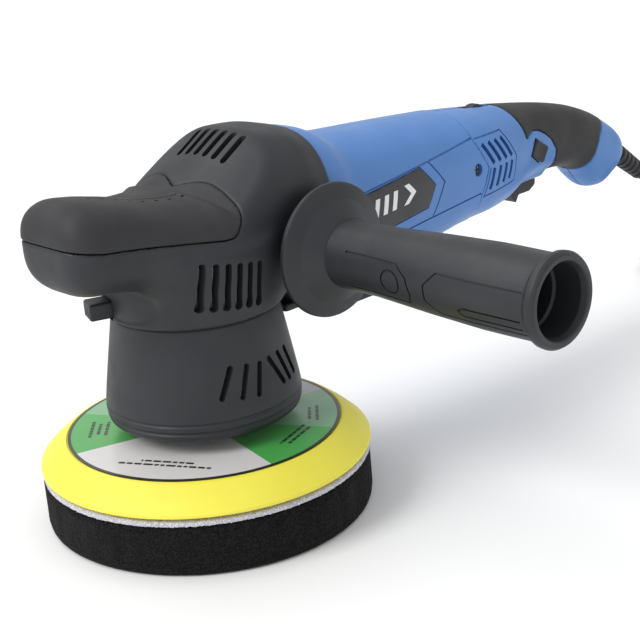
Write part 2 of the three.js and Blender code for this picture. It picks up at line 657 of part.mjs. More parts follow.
function handleShell() {
  const outside = skinned(handleStations, { square: 2.5, endGrow: 0 });
  const inside = skinned(handleStations, { square: 2.5, grow: -HANDLE_WALL, endGrow: 5 })
    .intersect(block([HANDLE_FRONT - 5, -60, 60], [HANDLE_REAR - 12, 60, 180]));
  const recess = cut(sideOutline(widened(overmoldOutline, GAP), -60, 60),
    skinned(handleStations, { square: 2.5, grow: -(OVERMOLD_SKIN + GAP) }));
  const triggerSlot = block([TRIGGER_FRONT - 1, -7, 80], [TRIGGER_REAR + 1, 7, TRIGGER_TOP + 5.5]);
  const cableHole = bootAxis(disc(5.9, -14, 30, 14));
  return cut(outside, inside, recess, triggerSlot, cableHole, dialSlot(GAP), buttonHole(0.5),
    ...rearVents(), ...screwHoles());
}

// Screws that close the two handle halves: side-view place and the depth of the head from the centre.
const screwPlaces = { front: [196, 106, 26], middle: [258, 120, 17], rear: [300, 100, 14] };

function screwHoles() {
  return Object.values(screwPlaces).map(([x, z]) => alongY(disc(3.7, 6, 60, 12), x, z));
}

const leftHalf = block([100, -80, 40], [400, -0.15, 220]);
const rightHalf = block([100, 0.15, 40], [400, 80, 220]);
const shell = handleShell();

function overmold(half) {
  const outside = skinned(handleStations, { square: 2.5 });
  const skin = cut(outside, skinned(handleStations, { square: 2.5, grow: -OVERMOLD_SKIN }));
  const zone = sideOutline(overmoldOutline, -60, 60);
  return cut(skin.intersect(zone), dialSlot(1), buttonHole(1), ...screwHoles()).intersect(half);
}

function handleScrew(x, z, depth) {
  const screw = turned([[0, 6], [1.8, 6], [1.8, depth - 3], [3.4, depth - 3], [3.4, depth], [0, depth]], 12);
  return alongY(screw, x, z);
}

place('rear_handle_left', largest(shell.intersect(leftHalf)), looks.blue);
place('rear_handle_right', largest(shell.intersect(rightHalf)), looks.blue);
place('grip_overmold_left', overmold(leftHalf), looks.soft);
place('grip_overmold_right', overmold(rightHalf), looks.soft);

// ---------------------------------------------------------------- controls and wiring
function trigger() {
  return sideOutline([
    [TRIGGER_FRONT, 97], [221, 95.5], [224.5, 92], [227, 95.5], [236, 95.5], [TRIGGER_REAR, 98.5],
    [TRIGGER_REAR, TRIGGER_TOP], [TRIGGER_FRONT, TRIGGER_TOP],
  ], -6.5, 6.5);
}

function lockButton() {
  const cap = block([-BUTTON_HALF, -23, -BUTTON_HALF], [BUTTON_HALF, -12.5, BUTTON_HALF]);
  const rim = BUTTON_HALF + 1.2;
  const flange = block([-rim, -13.4, -rim], [rim, -12.2, rim]);
  return toButton(join(cap, flange));
}

function speedDial() {
  const teeth = 14;
  const outline = [];
  for (let i = 0; i < 2 * teeth; i += 1) {
    const radius = i % 2 ? DIAL_RADIUS : DIAL_RADIUS - 0.7;
    const angle = (Math.PI * i) / teeth;
    outline.push([radius * Math.cos(angle), radius * Math.sin(angle)]);
  }
  return alongY(pushed(outline, -2.6, 2.6), DIAL_X, DIAL_Z);
}

// A button outside the head with a pin that reaches the notches in the gear's hub.
function spindleLock() {
  const pin = disc(3, 17.2, 40, 16).rotate([0, 90, 0]).translate([0, 0, LOCK_Z]);
  const cap = block([38.5, -6, LOCK_Z - 4.5], [46.6, 6, LOCK_Z + 4.5]);
  return join(pin, cap).rotate([0, 0, THREE.MathUtils.radToDeg(LOCK_ANGLE)]);
}

function speedController() {
  return join(block([190, -11, 112], [205, 11, 124]), block([195, -8, 123], [203, 8, 130]));
}

place('trigger', trigger(), looks.black);
place('lock_button', lockButton(), looks.black);
place('speed_dial', speedDial(), looks.black);
place('spindle_lock', spindleLock(), looks.black);
place('switch_module', block([212, -8.5, 112], [241, 8.5, 130]), looks.black);
place('speed_controller', speedController(), looks.nylon);
place('cable_clamp', block([290, -9, 100], [298, 9, 106]), looks.nylon);

// ---------------------------------------------------------------- side handle
function sideHandle() {
  const end = SIDE_HANDLE_END;
  const profile = [
    [0, -end + 42], [12.5, -end + 42], [13, -end + 14], [15.2, -end], [18.6, -end], [20, -end + 1.5],
    [20, -end + 4.5], [18.2, -end + 6.5], [18.4, -end + 30], [15.4, -end + 98], [16.5, -end + 117],
    [30.4, -end + 128], [30.4, -end + 131], [13, -BOSS_END - GAP], [STUD_RADIUS + GAP, -BOSS_END - GAP],
    [STUD_RADIUS + GAP, -60], [0, -60],
  ];
  const points = profile.map(([radius, y]) => new THREE.Vector2(radius, y));
  return toSolid(new THREE.LatheGeometry(points, 20)).translate([SIDE_HANDLE_X, 0, SIDE_HANDLE_Z]);
}

function sideHandleStud() {
  const stud = alongY(disc(STUD_RADIUS, 26.5, 59.5, 16), 0, 0).mirror([0, 1, 0]);
  return stud.translate([SIDE_HANDLE_X, 0, SIDE_HANDLE_Z]);
}

place('side_handle', sideHandle(), looks.black);
place('side_handle_stud', sideHandleStud(), looks.steel);
for (const [word, at] of Object.entries(screwPlaces)) {
  place(`handle_screw_${word}`, handleScrew(...at), looks.darkSteel);
}

// ---------------------------------------------------------------- cord
// Distances along the strain relief's own axis, from the handle outwards.
function cableBoot() {
  const ribs = [];
  for (let i = 0; i < 4; i += 1) {
    const [near, far] = [8 + 7.5 * i, 12.5 + 7.5 * i];
    const [crest, root] = [5.9 - 0.16 * i, 5.2 - 0.12 * i];
    ribs.push([crest, near], [crest, far], [root, far + 0.6], [root, far + 1.6]);
  }
  return bootAxis(turned([
    [0, -9], [5.6, -9], [5.6, 6], ...ribs, [4.7, BOOT_LENGTH],
    [CORD_RADIUS + GAP, BOOT_LENGTH], [CORD_RADIUS + GAP, BOOT_LENGTH - CORD_IN_BOOT - GAP],
    [0, BOOT_LENGTH - CORD_IN_BOOT - GAP],
  ], 12));
}

const bootDirection = new THREE.Vector3(Math.cos(BOOT_SLOPE), 0, -Math.sin(BOOT_SLOPE));
const alongBoot = (distance) => BOOT_START.clone().addScaledVector(bootDirection, distance);
const coilJoinX = COIL_CENTRE.x - 29.8;
const coilJoinY = COIL_CENTRE.y + COIL_LEAD_RADIUS;

// The lead runs out of the strain relief, sinks to the floor and meets the coil at a tangent.
const cordRoute = [
  alongBoot(BOOT_LENGTH - CORD_IN_BOOT), alongBoot(BOOT_LENGTH), alongBoot(BOOT_LENGTH + 14),
  new THREE.Vector3(374, 4, 58), new THREE.Vector3(382, 11, 38), new THREE.Vector3(389, 20, 17),
  new THREE.Vector3(400, 29, 5.6), new THREE.Vector3(coilJoinX, coilJoinY, CORD_FLOOR_Z),
];

function roundCord(points, steps) {
  const section = new THREE.Shape();
  section.absarc(0, 0, CORD_RADIUS, 0, 2 * Math.PI, false);
  const path = new THREE.CatmullRomCurve3(points, false, 'centripetal');
  return toSolid(new THREE.ExtrudeGeometry(section, { steps, curveSegments: 5, extrudePath: path }));
}

const plugY = COIL_CENTRE.y - 41;
const PLUG_Z = 13.6;

function cordEnd() {
  const x = COIL_CENTRE.x + COIL_LEAD_RADIUS;
  return roundCord([11, 5, 0].map((ahead) => new THREE.Vector3(x, plugY + ahead, PLUG_Z)), 2);
}

// Moulded two-pin plug lying on its side, its pins towards -Y.
function plug() {
  const sleeve = alongY(turned([[0, 0], [5.4, 0], [6.6, 22], [0, 22]], 16).rotate([180, 0, 0]), 0, 0);
  const body = new THREE.CylinderGeometry(17.5, 14, 34, 16).rotateX(Math.PI).translate(0, -38, 0);
  const flattened = toSolid(body).scale([1, 1, 0.75]);
  const pin = alongY(disc(2.4, 54, 74, 12), 0, 0).mirror([0, 1, 0]);
  const pins = [-9.5, 9.5].map((x) => pin.translate([x, 0, 0]));
  return join(sleeve, flattened, ...pins).translate([COIL_CENTRE.x + COIL_LEAD_RADIUS, plugY - GAP, PLUG_Z]);
}

function cordCoil() {
  const [low, high, soft] = [0.1, 0.1 + COIL_HEIGHT, 3];
  return turned([
    [COIL_INNER, low + soft], [COIL_INNER + soft, low],
    [COIL_OUTER - soft, low], [COIL_OUTER, low + soft],
    [COIL_OUTER, high - soft], [COIL_OUTER - soft, high],
    [COIL_INNER + soft, high], [COIL_INNER, high - soft], [COIL_INNER, low + soft],
  ], 22).translate([COIL_CENTRE.x, COIL_CENTRE.y, 0]);
}

place('cable_boot', cableBoot(), looks.rubber);
place('cord', roundCord(cordRoute, 14), looks.rubber);
place('cord_coil', cordCoil(), looks.rubber);
place('cord_end', cordEnd(), looks.rubber);
place('plug', plug(), looks.rubber);

export default polisher;
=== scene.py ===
"""Looks of the dual action polisher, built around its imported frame.

Shapes are written in millimetres in the frame's axes (+X to the rear handle, +Z up, the side handle
towards -Y) and become metres when a mesh is made. Housings are smooth fields meshed at their zero
surface; round pieces are turned; vents, grooves and holes are cut afterwards.
"""
import math

import bmesh
import bpy
import numpy as np
from mathutils import Euler, Matrix, Vector


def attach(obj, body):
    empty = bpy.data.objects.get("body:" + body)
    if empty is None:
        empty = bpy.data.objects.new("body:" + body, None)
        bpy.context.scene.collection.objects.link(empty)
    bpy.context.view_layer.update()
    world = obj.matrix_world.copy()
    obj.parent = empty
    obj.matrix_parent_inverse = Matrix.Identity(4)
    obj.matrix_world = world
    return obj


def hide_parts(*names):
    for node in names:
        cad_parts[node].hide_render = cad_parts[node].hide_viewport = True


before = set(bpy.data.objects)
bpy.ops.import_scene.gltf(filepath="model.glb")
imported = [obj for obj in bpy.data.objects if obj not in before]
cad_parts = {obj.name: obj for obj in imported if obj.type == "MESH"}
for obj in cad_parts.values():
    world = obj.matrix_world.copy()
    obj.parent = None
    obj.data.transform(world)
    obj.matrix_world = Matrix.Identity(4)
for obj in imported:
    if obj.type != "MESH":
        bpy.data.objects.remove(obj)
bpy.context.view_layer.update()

MM = 0.001
WORLD = bpy.context.scene

# ------------------------------------------------------------------ driving sizes, mm
LOCK_ANGLE = math.radians(158.3)
LOCK_Z = 103.5
SIDE_HANDLE_X = 43
SIDE_HANDLE_Z = 119.5
PAD_X, PAD_Y = -3.46, -2.0
SEAM = 0.35
BUTTON_X, BUTTON_Z, BUTTON_TURN = 227, 122.2, 32
DIAL_X, DIAL_Z, DIAL_RADIUS = 199, 142.5, 9
HEAD_WALL, MOTOR_WALL, HANDLE_WALL = 4.0, 3, 4.2
PALM_SKIN, OVERMOLD_SKIN = 2.4, 2.1
VENT_PITCH = 5.5


# ------------------------------------------------------------------ meshes
def shift(x, y, z):
    """A move in millimetres."""
    return Matrix.Translation(Vector((x, y, z)) * MM)


def new_object(name, mesh):
    obj = bpy.data.objects.new(name, mesh)
    WORLD.collection.objects.link(obj)
    return obj


def mesh_of(name, points, faces, smooth=True):
    """A mesh object from points in millimetres and faces given as lists of point numbers."""
    mesh = bpy.data.meshes.new(name)
    points = np.asarray(points, float) * MM
    quads = np.asarray(faces) if len({len(face) for face in faces}) == 1 else None
    if quads is None:
        mesh.from_pydata(points.tolist(), [], [list(face) for face in faces])
    else:
        count, size = quads.shape
        mesh.vertices.add(len(points))
        mesh.vertices.foreach_set("co", points.astype(np.float32).ravel())
        mesh.loops.add(count * size)
        mesh.loops.foreach_set("vertex_index", quads.astype(np.int32).ravel())
        mesh.polygons.add(count)
        mesh.polygons.foreach_set("loop_start", np.arange(0, count * size, size, dtype=np.int32))
    mesh.update(calc_edges=True)
    mesh.validate()
    mesh.polygons.foreach_set("use_smooth", np.full(len(mesh.polygons), smooth))
    return new_object(name, mesh)


def baked(obj):
    """Applies an object's modifiers to its mesh."""
    bpy.context.view_layer.update()
    graph = bpy.context.evaluated_depsgraph_get()
    mesh = bpy.data.meshes.new_from_object(obj.evaluated_get(graph))
    old = obj.data
    obj.modifiers.clear()
    obj.data = mesh
    bpy.data.meshes.remove(old)
    return obj


def remove(obj):
    mesh = obj.data
    bpy.data.objects.remove(obj)
    bpy.data.meshes.remove(mesh)


def boolean(obj, tool, operation="DIFFERENCE", keep=False):
    modifier = obj.modifiers.new("boolean", "BOOLEAN")
    modifier.object = tool
    modifier.operation = operation
    modifier.solver = "MANIFOLD"
    baked(obj)
    if not keep:
        remove(tool)
    return obj


def joined(name, objects):
    """One mesh object from several whose volumes don't touch."""
    points, faces = [], []
    for obj in objects:
        start = len(points)
        points += [v.co / MM for v in obj.data.vertices]
        faces += [[start + i for i in p.vertices] for p in obj.data.polygons]
        remove(obj)
    return mesh_of(name, points, faces, smooth=False)


def cut(obj, tools):
    return boolean(obj, joined("tools", tools)) if tools else obj


def crisp(obj, angle=32):
    """Smooth shading that keeps edges sharper than the angle."""
    mesh = obj.data
    mesh.polygons.foreach_set("use_smooth", np.ones(len(mesh.polygons), bool))
    mesh.set_sharp_from_angle(angle=math.radians(angle))
    return obj


def softened(obj, width, segments=2, angle=35):
    modifier = obj.modifiers.new("edges", "BEVEL")
    modifier.width = width * MM
    modifier.segments = segments
    modifier.limit_method = "ANGLE"
    modifier.angle_limit = math.radians(angle)
    modifier.harden_normals = False
    return obj


def block(name, low, high, turn=(0, 0, 0), about=None):
    """A box from its corners, turned by degrees about its own centre or another point."""
    low, high = np.array(low, float), np.array(high, float)
    corners = np.array([[x, y, z] for x in (0, 1) for y in (0, 1) for z in (0, 1)]) * (high - low) + low
    pivot = np.array(about if about is not None else (low + high) / 2, float)
    matrix = np.array(Euler([math.radians(a) for a in turn]).to_matrix())
    corners = (corners - pivot) @ matrix.T + pivot
    faces = [(0, 1, 3, 2), (4, 6, 7, 5), (0, 4, 5, 1), (2, 3, 7, 6), (0, 2, 6, 4), (1, 5, 7, 3)]
    return mesh_of(name, corners, faces, smooth=False)


def prism(name, outline, low, high, plane="xz"):
    """An outline in the XZ or XY plane, pushed from low to high along the third axis."""
    outline = list(outline)
    area = sum(a[0] * b[1] - b[0] * a[1] for a, b in zip(outline, outline[1:] + outline[:1]))
    if (area < 0) == (plane == "xy"):
        outline.reverse()
    count = len(outline)
    layers = [[(a, level, b) if plane == "xz" else (a, b, level) for a, b in outline]
              for level in (low, high)]
    faces = [list(range(count))[::-1], [count + i for i in range(count)]]
    faces += [[i, (i + 1) % count, count + (i + 1) % count, count + i] for i in range(count)]
    return mesh_of(name, layers[0] + layers[1], faces, smooth=False)


def stroke(points, width, closed=False):
    """The outline of a band of one width along a path of flat points."""
    points = [np.array(p, float) for p in points]
    left, right = [], []
    last = len(points) - 1
    for i, p in enumerate(points):
        before = points[i - 1] if i or closed else None
        after = points[(i + 1) % len(points)] if i < last or closed else None
        ways = [(p - before) if before is not None else None, (after - p) if after is not None else None]
        ways = [w / np.linalg.norm(w) for w in ways if w is not None]
        along = sum(ways)
        along /= np.linalg.norm(along)
        side = np.array([-along[1], along[0]])
        reach = width / 2 / max(0.3, float(side @ np.array([-ways[0][1], ways[0][0]])))
        left.append(p + side * reach)
        right.append(p - side * reach)
    return left + right[::-1]


def turned(name, profile, segments=96, axis="z", start=(0, 0, 0)):
    """A solid of revolution from [radius, distance] pairs that run up the outside, closed on the axis."""
    profile = [(max(r, 0.0), h) for r, h in profile]
    closed = profile[0] == profile[-1]
    rows = profile[:-1] if closed else profile
    angles = np.linspace(0, 2 * math.pi, segments, endpoint=False)
    points, index = [], []
    for r, h in rows:
        if r == 0:
            index.append([len(points)] * segments)
            points.append((0.0, 0.0, h))
        else:
            index.append([len(points) + i for i in range(segments)])
            points += [(r * math.cos(a), r * math.sin(a), h) for a in angles]
    faces = []
    pairs = list(zip(index, index[1:])) + ([(index[-1], index[0])] if closed else [])
    for lower, upper in pairs:
        for i in range(segments):
            j = (i + 1) % segments
            face = [lower[i], lower[j], upper[j], upper[i]]
            face = [v for k, v in enumerate(face) if v not in face[:k]]
            if len(face) > 2:
                faces.append(face)
    points = np.array(points)
    if axis == "x":
        points = points[:, [2, 0, 1]]
    elif axis == "y":
        points = points[:, [1, 2, 0]]
    return mesh_of(name, points + np.array(start, float), faces)


def filleted(corners, steps=5):
    """A profile whose corners, given as (a, b, radius), are rounded by arcs."""
    path = []
    count = len(corners)
    for i, corner in enumerate(corners):
        point = np.array(corner[:2], float)
        radius = corner[2] if len(corner) > 2 else 0
        if radius == 0 or i in (0, count - 1):
            path.append(tuple(point))
            continue
        before = np.array(corners[i - 1][:2], float) - point
        after = np.array(corners[i + 1][:2], float) - point
        far = min(np.linalg.norm(before), np.linalg.norm(after)) / 2
        before /= np.linalg.norm(before)
        after /= np.linalg.norm(after)
        half = math.acos(max(-1.0, min(1.0, float(before @ after)))) / 2
        reach = min(radius / math.tan(half), far)
        for step in range(steps + 1):
            t = step / steps
            a, b = point + before * reach, point + after * reach
            path.append(tuple((1 - t) ** 2 * a + 2 * t * (1 - t) * point + t * t * b))
    return path


# ------------------------------------------------------------------ fields
def smooth_min(a, b, k):
    h = np.clip(k - np.abs(a - b), 0, None) / k
    return np.minimum(a, b) - h * h * k / 4


def smooth_max(a, b, k):
    return -smooth_min(-a, -b, k)


def curve_through(xs, ys):
    """A smooth function through points that never overshoots them."""
    xs, ys = np.array(xs, float), np.array(ys, float)
    step = np.diff(xs)
    slope = np.diff(ys) / step
    tangent = np.zeros(len(xs))
    tangent[0], tangent[-1] = slope[0], slope[-1]
    same = slope[:-1] * slope[1:] > 0
    w1, w2 = 2 * step[1:] + step[:-1], step[1:] + 2 * step[:-1]
    with np.errstate(divide="ignore", invalid="ignore"):
        mean = (w1 + w2) / (w1 / slope[:-1] + w2 / slope[1:])
    tangent[1:-1] = np.where(same, mean, 0)

    def value(x):
        x = np.clip(x, xs[0], xs[-1])
        i = np.clip(np.searchsorted(xs, x, side="right") - 1, 0, len(xs) - 2)
        t = (x - xs[i]) / step[i]
        t2, t3 = t * t, t * t * t
        return ((2 * t3 - 3 * t2 + 1) * ys[i] + (t3 - 2 * t2 + t) * step[i] * tangent[i]
                + (3 * t2 - 2 * t3) * ys[i + 1] + (t3 - t2) * step[i] * tangent[i + 1])
    return value


def skin(stations, square, nose=0, tail=0):
    """A body along X with rounded sections. Stations are (x, top, bottom, half width); nose and tail
    are how softly its ends are rounded."""
    xs = [s[0] for s in stations]
    top, bottom, half = (curve_through(xs, [s[i] for s in stations]) for i in (1, 2, 3))
    first, last = xs[0], xs[-1]

    def field(x, y, z):
        a, b = half(x), (top(x) - bottom(x)) / 2
        middle = (top(x) + bottom(x)) / 2
        u, v = np.abs(y), np.abs(z - middle)
        share = ((u / a) ** square + (v / b) ** square) ** (1 / square)
        reach = np.sqrt(u * u + v * v)
        side = reach * (1 - 1 / np.maximum(share, 1e-6))
        side = np.where(reach < 1e-6, -np.minimum(a, b), side)
        side = smooth_max(side, first - x, nose) if nose else np.maximum(side, first - x)
        return smooth_max(side, x - last, tail) if tail else np.maximum(side, x - last)
    return field


def outline_field(points):
    """Signed distance to a closed flat outline, negative inside."""
    points = [np.array(p, float) for p in points]

    def field(a, b):
        best = np.full(a.shape, 1e9)
        inside = np.zeros(a.shape, bool)
        for p, q in zip(points, points[1:] + points[:1]):
            e = q - p
            t = np.clip(((a - p[0]) * e[0] + (b - p[1]) * e[1]) / (e @ e), 0, 1)
            best = np.minimum(best, (a - p[0] - t * e[0]) ** 2 + (b - p[1] - t * e[1]) ** 2)
            crosses = (p[1] > b) != (q[1] > b)
            rise = q[1] - p[1] if q[1] != p[1] else 1e-9
            inside ^= crosses & (a < (b - p[1]) * e[0] / rise + p[0])
        return np.where(inside, -1, 1) * np.sqrt(best)
    return field


def box_field(x, y, z, middle, half, radius=0.0):
    q = [np.abs(v - m) - (h - radius) for v, m, h in zip((x, y, z), middle, half)]
    outside = np.sqrt(sum(np.maximum(v, 0) ** 2 for v in q))
    return outside + np.minimum(np.maximum(np.maximum(q[0], q[1]), q[2]), 0) - radius


def within(field, low, high):
    """A field cut off at the sides of a box, so that its surface always closes."""
    def value(x, y, z):
        result = field(x, y, z)
        for place, near, far in zip((x, y, z), low, high):
            result = np.maximum(result, np.maximum(near - place, place - far))
        return result
    return value


def meshed(name, field, low, high, step, relax=2):
    """Meshes the zero surface of a field inside a box by surface nets, then settles it on the surface."""
    span = 8
    field = within(field, [v + 1.5 * step for v in low], [v - 1.5 * step for v in high])
    low = np.array(low, float)
    blocks = np.ceil((np.array(high, float) - low) / (step * span)).astype(int)
    grid = [low[i] + (np.arange(blocks[i]) + 0.5) * span * step for i in range(3)]
    coarse = field(*np.meshgrid(*grid, indexing="ij"))
    near = np.abs(coarse) < span * step * 1.45
    size = blocks * span
    values = np.where(coarse < 0, -9.0, 9.0)
    for axis in range(3):
        values = np.repeat(values, span, axis)
        near = np.repeat(near, span, axis)
    values = np.pad(values, ((0, 1),) * 3, mode="edge")
    grown = np.pad(near, ((0, 1),) * 3)
    for axis in range(3):
        grown |= np.roll(grown, 1, axis)
    where = np.nonzero(grown)
    values[where] = field(*(low[i] + where[i] * step for i in range(3)))

    inside = values < 0
    nx, ny, nz = size
    corners = [(i, j, k) for i in (0, 1) for j in (0, 1) for k in (0, 1)]
    count = sum(inside[i:nx + i, j:ny + j, k:nz + k].astype(np.int8) for i, j, k in corners)
    cells = np.nonzero((count > 0) & (count < 8))
    number = np.full((nx, ny, nz), -1, np.int64)
    number[cells] = np.arange(len(cells[0]))
    at = {c: values[cells[0] + c[0], cells[1] + c[1], cells[2] + c[2]] for c in corners}
    total = np.zeros((len(cells[0]), 3))
    weight = np.zeros(len(cells[0]))
    for a in corners:
        for axis in range(3):
            if a[axis]:
                continue
            b = tuple(1 if n == axis else v for n, v in enumerate(a))
            crossing = (at[a] < 0) != (at[b] < 0)
            t = at[a] / np.where(crossing, at[a] - at[b], 1)
            point = np.array(a, float) + np.outer(t, np.array(b) - np.array(a))
            total[crossing] += point[crossing]
            weight += crossing
    points = low + (np.array(cells).T + total / weight[:, None]) * step

    faces = []
    for axis in range(3):
        b, c = (axis + 1) % 3, (axis + 2) % 3
        first = inside
        second = np.roll(inside, -1, axis)
        change = first != second
        index = np.nonzero(change)
        keep = (index[axis] < size[axis]) & (index[b] > 0) & (index[c] > 0)
        keep &= (index[b] < size[b]) & (index[c] < size[c])
        index = [v[keep] for v in index]
        ring = []
        for db, dc in ((0, 0), (-1, 0), (-1, -1), (0, -1)):
            place = list(index)
            place[b] = index[b] + db
            place[c] = index[c] + dc
            ring.append(number[tuple(place)])
        ring = np.array(ring).T
        flip = ~inside[tuple(index)]
        ring[flip] = ring[flip][:, ::-1]
        faces.append(ring)
    faces = np.concatenate(faces)
    faces = faces[(faces >= 0).all(1)]

    def settle(points, rounds):
        small = 0.05
        for _ in range(rounds):
            x, y, z = points.T
            value = field(x, y, z)
            slope = np.stack([
                field(x + small, y, z) - value,
                field(x, y + small, z) - value,
                field(x, y, z + small) - value,
            ], 1) / small
            move = (value / np.maximum((slope ** 2).sum(1), 0.2))[:, None] * slope
            length = np.linalg.norm(move, axis=1, keepdims=True)
            points = points - move * np.minimum(1, 0.5 * step / np.maximum(length, 1e-9))
        return points

    edges = np.concatenate([faces[:, [i, (i + 1) % 4]] for i in range(4)])
    degree = np.bincount(edges.ravel(), minlength=len(points))[:, None]
    points = settle(points, 2)
    for _ in range(relax):
        mean = np.zeros_like(points)
        for axis in range(3):
            mean[:, axis] += np.bincount(edges[:, 0], points[edges[:, 1], axis], len(points))
            mean[:, axis] += np.bincount(edges[:, 1], points[edges[:, 0], axis], len(points))
        points = settle(points * 0.4 + 0.6 * mean / degree, 1)
    points = settle(points, 1)
    return mesh_of(name, points, faces)


def inner_core(field, depth, low, high, step=1.6):
    """The body of a field, smaller by a depth, to keep the tools of shallow cuts at one depth."""
    return meshed("core", lambda x, y, z: field(x, y, z) + depth, low, high, step, relax=1)


# ------------------------------------------------------------------ materials
class Nodes:
    """Builds one material's node tree a node at a time."""

    def __init__(self, name, color, roughness, metallic=0.0):
        self.material = bpy.data.materials.new(name)
        self.material.use_nodes = True
        self.tree = self.material.node_tree
        self.shader = self.tree.nodes["Principled BSDF"]
        self.shader.inputs["Base Color"].default_value = (*color, 1)
        self.shader.inputs["Roughness"].default_value = roughness
        self.shader.inputs["Metallic"].default_value = metallic
        self.place = self.tree.nodes.new("ShaderNodeTexCoord").outputs["Object"]

    def node(self, kind, values=None, links=None, **settings):
        node = self.tree.nodes.new(kind)
        for key, value in settings.items():
            setattr(node, key, value)
        for key, value in (values or {}).items():
            node.inputs[key].default_value = value
        for key, value in (links or {}).items():
            self.tree.links.new(value, node.inputs[key])
        return node

    def noise(self, scale, detail=2.0, rough=0.5):
        return self.node("ShaderNodeTexNoise", {"Scale": scale, "Detail": detail, "Roughness": rough},
                         {"Vector": self.place}).outputs["Fac"]

    def range(self, value, low, high, out_low, out_high):
        values = {"From Min": low, "From Max": high, "To Min": out_low, "To Max": out_high}
        return self.node("ShaderNodeMapRange", values, {"Value": value}).outputs["Result"]

    def math(self, operation, a, b=None):
        node = self.node("ShaderNodeMath", operation=operation)
        for slot, value in enumerate((a, b)):
            if isinstance(value, (int, float)):
                node.inputs[slot].default_value = value
            elif value is not None:
                self.tree.links.new(value, node.inputs[slot])
        return node.outputs[0]

    def mix(self, factor, a, b):
        node = self.node("ShaderNodeMix", data_type="RGBA")
        for slot, value in ((0, factor), (6, a), (7, b)):
            if isinstance(value, tuple):
                node.inputs[slot].default_value = (*value, 1)
            elif isinstance(value, (int, float)):
                node.inputs[slot].default_value = value
            else:
                self.tree.links.new(value, node.inputs[slot])
        return node.outputs[2]

    def color(self, value):
        self.tree.links.new(value, self.shader.inputs["Base Color"])

    def roughness(self, value):
        self.tree.links.new(value, self.shader.inputs["Roughness"])

    def bump(self, height, strength, distance, under=None):
        links = {"Height": height}
        if under is not None:
            links["Normal"] = under
        node = self.node("ShaderNodeBump", {"Strength": strength, "Distance": distance * MM}, links)
        self.tree.links.new(node.outputs["Normal"], self.shader.inputs["Normal"])
        return node.outputs["Normal"]


def tones(color, spread):
    return tuple(c * (1 - spread) for c in color), tuple(min(1, c * (1 + spread)) for c in color)


def moulded(name, color, roughness, grain=0.35, pitch=0.45, spread=0.06, coat=0.0):
    """Moulded plastic with a spark-eroded grain, faint colour drift and rubbed patches."""
    n = Nodes(name, color, roughness)
    drift = n.noise(22, 3)
    dark, light = tones(color, spread)
    fine = n.noise(1000 / pitch, 3, 0.6)
    shade = n.range(fine, 0.3, 0.7, 0.0, 1.0)
    mixed = n.mix(n.range(drift, 0.35, 0.65, 0.0, 1.0), dark, light)
    n.color(n.mix(n.math("MULTIPLY", shade, 0.18), mixed, light))
    worn = n.range(n.noise(60, 4), 0.35, 0.7, -0.06, 0.07)
    n.roughness(n.math("ADD", n.math("ADD", worn, roughness), n.math("MULTIPLY", fine, 0.05)))
    grain_bump = n.bump(fine, grain, 0.06)
    n.bump(n.noise(140, 2), 0.08, 0.25, grain_bump)
    n.shader.inputs["Coat Weight"].default_value = coat
    n.shader.inputs["Coat Roughness"].default_value = 0.35
    return n.material


def metal(name, color, roughness, brush=0.25, cast=False):
    n = Nodes(name, color, roughness, 1.0)
    stretch = n.node("ShaderNodeMapping", {"Scale": (1, 1, 1) if cast else (0.1, 1, 1)}, {"Vector": n.place})
    noise = n.node("ShaderNodeTexNoise", {"Scale": 900 if cast else 2600, "Detail": 3},
                   {"Vector": stretch.outputs["Vector"]}).outputs["Fac"]
    n.roughness(n.range(noise, 0.25, 0.75, roughness - 0.08, roughness + 0.12))
    dark, light = tones(color, 0.12)
    n.color(n.mix(n.noise(70, 3), dark, light))
    n.bump(noise, brush, 0.05)
    return n.material


def foam_material():
    """Open-cell foam: a fine net of dark cells with lighter cell walls."""
    n = Nodes("foam", (0.012, 0.011, 0.012), 0.95)
    cells = n.node("ShaderNodeTexVoronoi", {"Scale": 1150.0, "Randomness": 1.0}, {"Vector": n.place},
                   feature="F1").outputs["Distance"]
    coarse = n.node("ShaderNodeTexVoronoi", {"Scale": 420.0, "Randomness": 1.0}, {"Vector": n.place},
                    feature="F1").outputs["Distance"]
    walls = n.range(cells, 0.25, 0.75, 0.0, 1.0)
    n.color(n.mix(walls, (0.003, 0.003, 0.0034), (0.0155, 0.0145, 0.0155)))
    under = n.bump(cells, 0.9, 0.35)
    n.bump(coarse, 0.5, 0.4, under)
    n.shader.inputs["Sheen Weight"].default_value = 0.03
    n.shader.inputs["Sheen Roughness"].default_value = 0.6
    n.shader.inputs["Specular IOR Level"].default_value = 0.06
    return n.material


def fleece_material():
    n = Nodes("fleece", (0.62, 0.61, 0.70), 0.95)
    loops = n.node("ShaderNodeTexVoronoi", {"Scale": 1300.0, "Randomness": 1.0}, {"Vector": n.place},
                   feature="F1").outputs["Distance"]
    n.color(n.mix(n.range(loops, 0.1, 0.7, 0.0, 1.0), (0.80, 0.79, 0.87), (0.44, 0.43, 0.50)))
    n.bump(loops, 0.7, 0.4)
    n.shader.inputs["Sheen Weight"].default_value = 0.6
    n.shader.inputs["Sheen Roughness"].default_value = 0.5
    return n.material


def printed(name, color):
    """Printed film under a clear gloss layer."""
    n = Nodes(name, color, 0.38)
    dark, light = tones(color, 0.05)
    n.color(n.mix(n.noise(35, 3), dark, light))
    n.roughness(n.range(n.noise(90, 3), 0.3, 0.7, 0.3, 0.46))
    n.bump(n.noise(300, 2), 0.05, 0.1)
    n.shader.inputs["Coat Weight"].default_value = 0.5
    n.shader.inputs["Coat Roughness"].default_value = 0.18
    return n.material


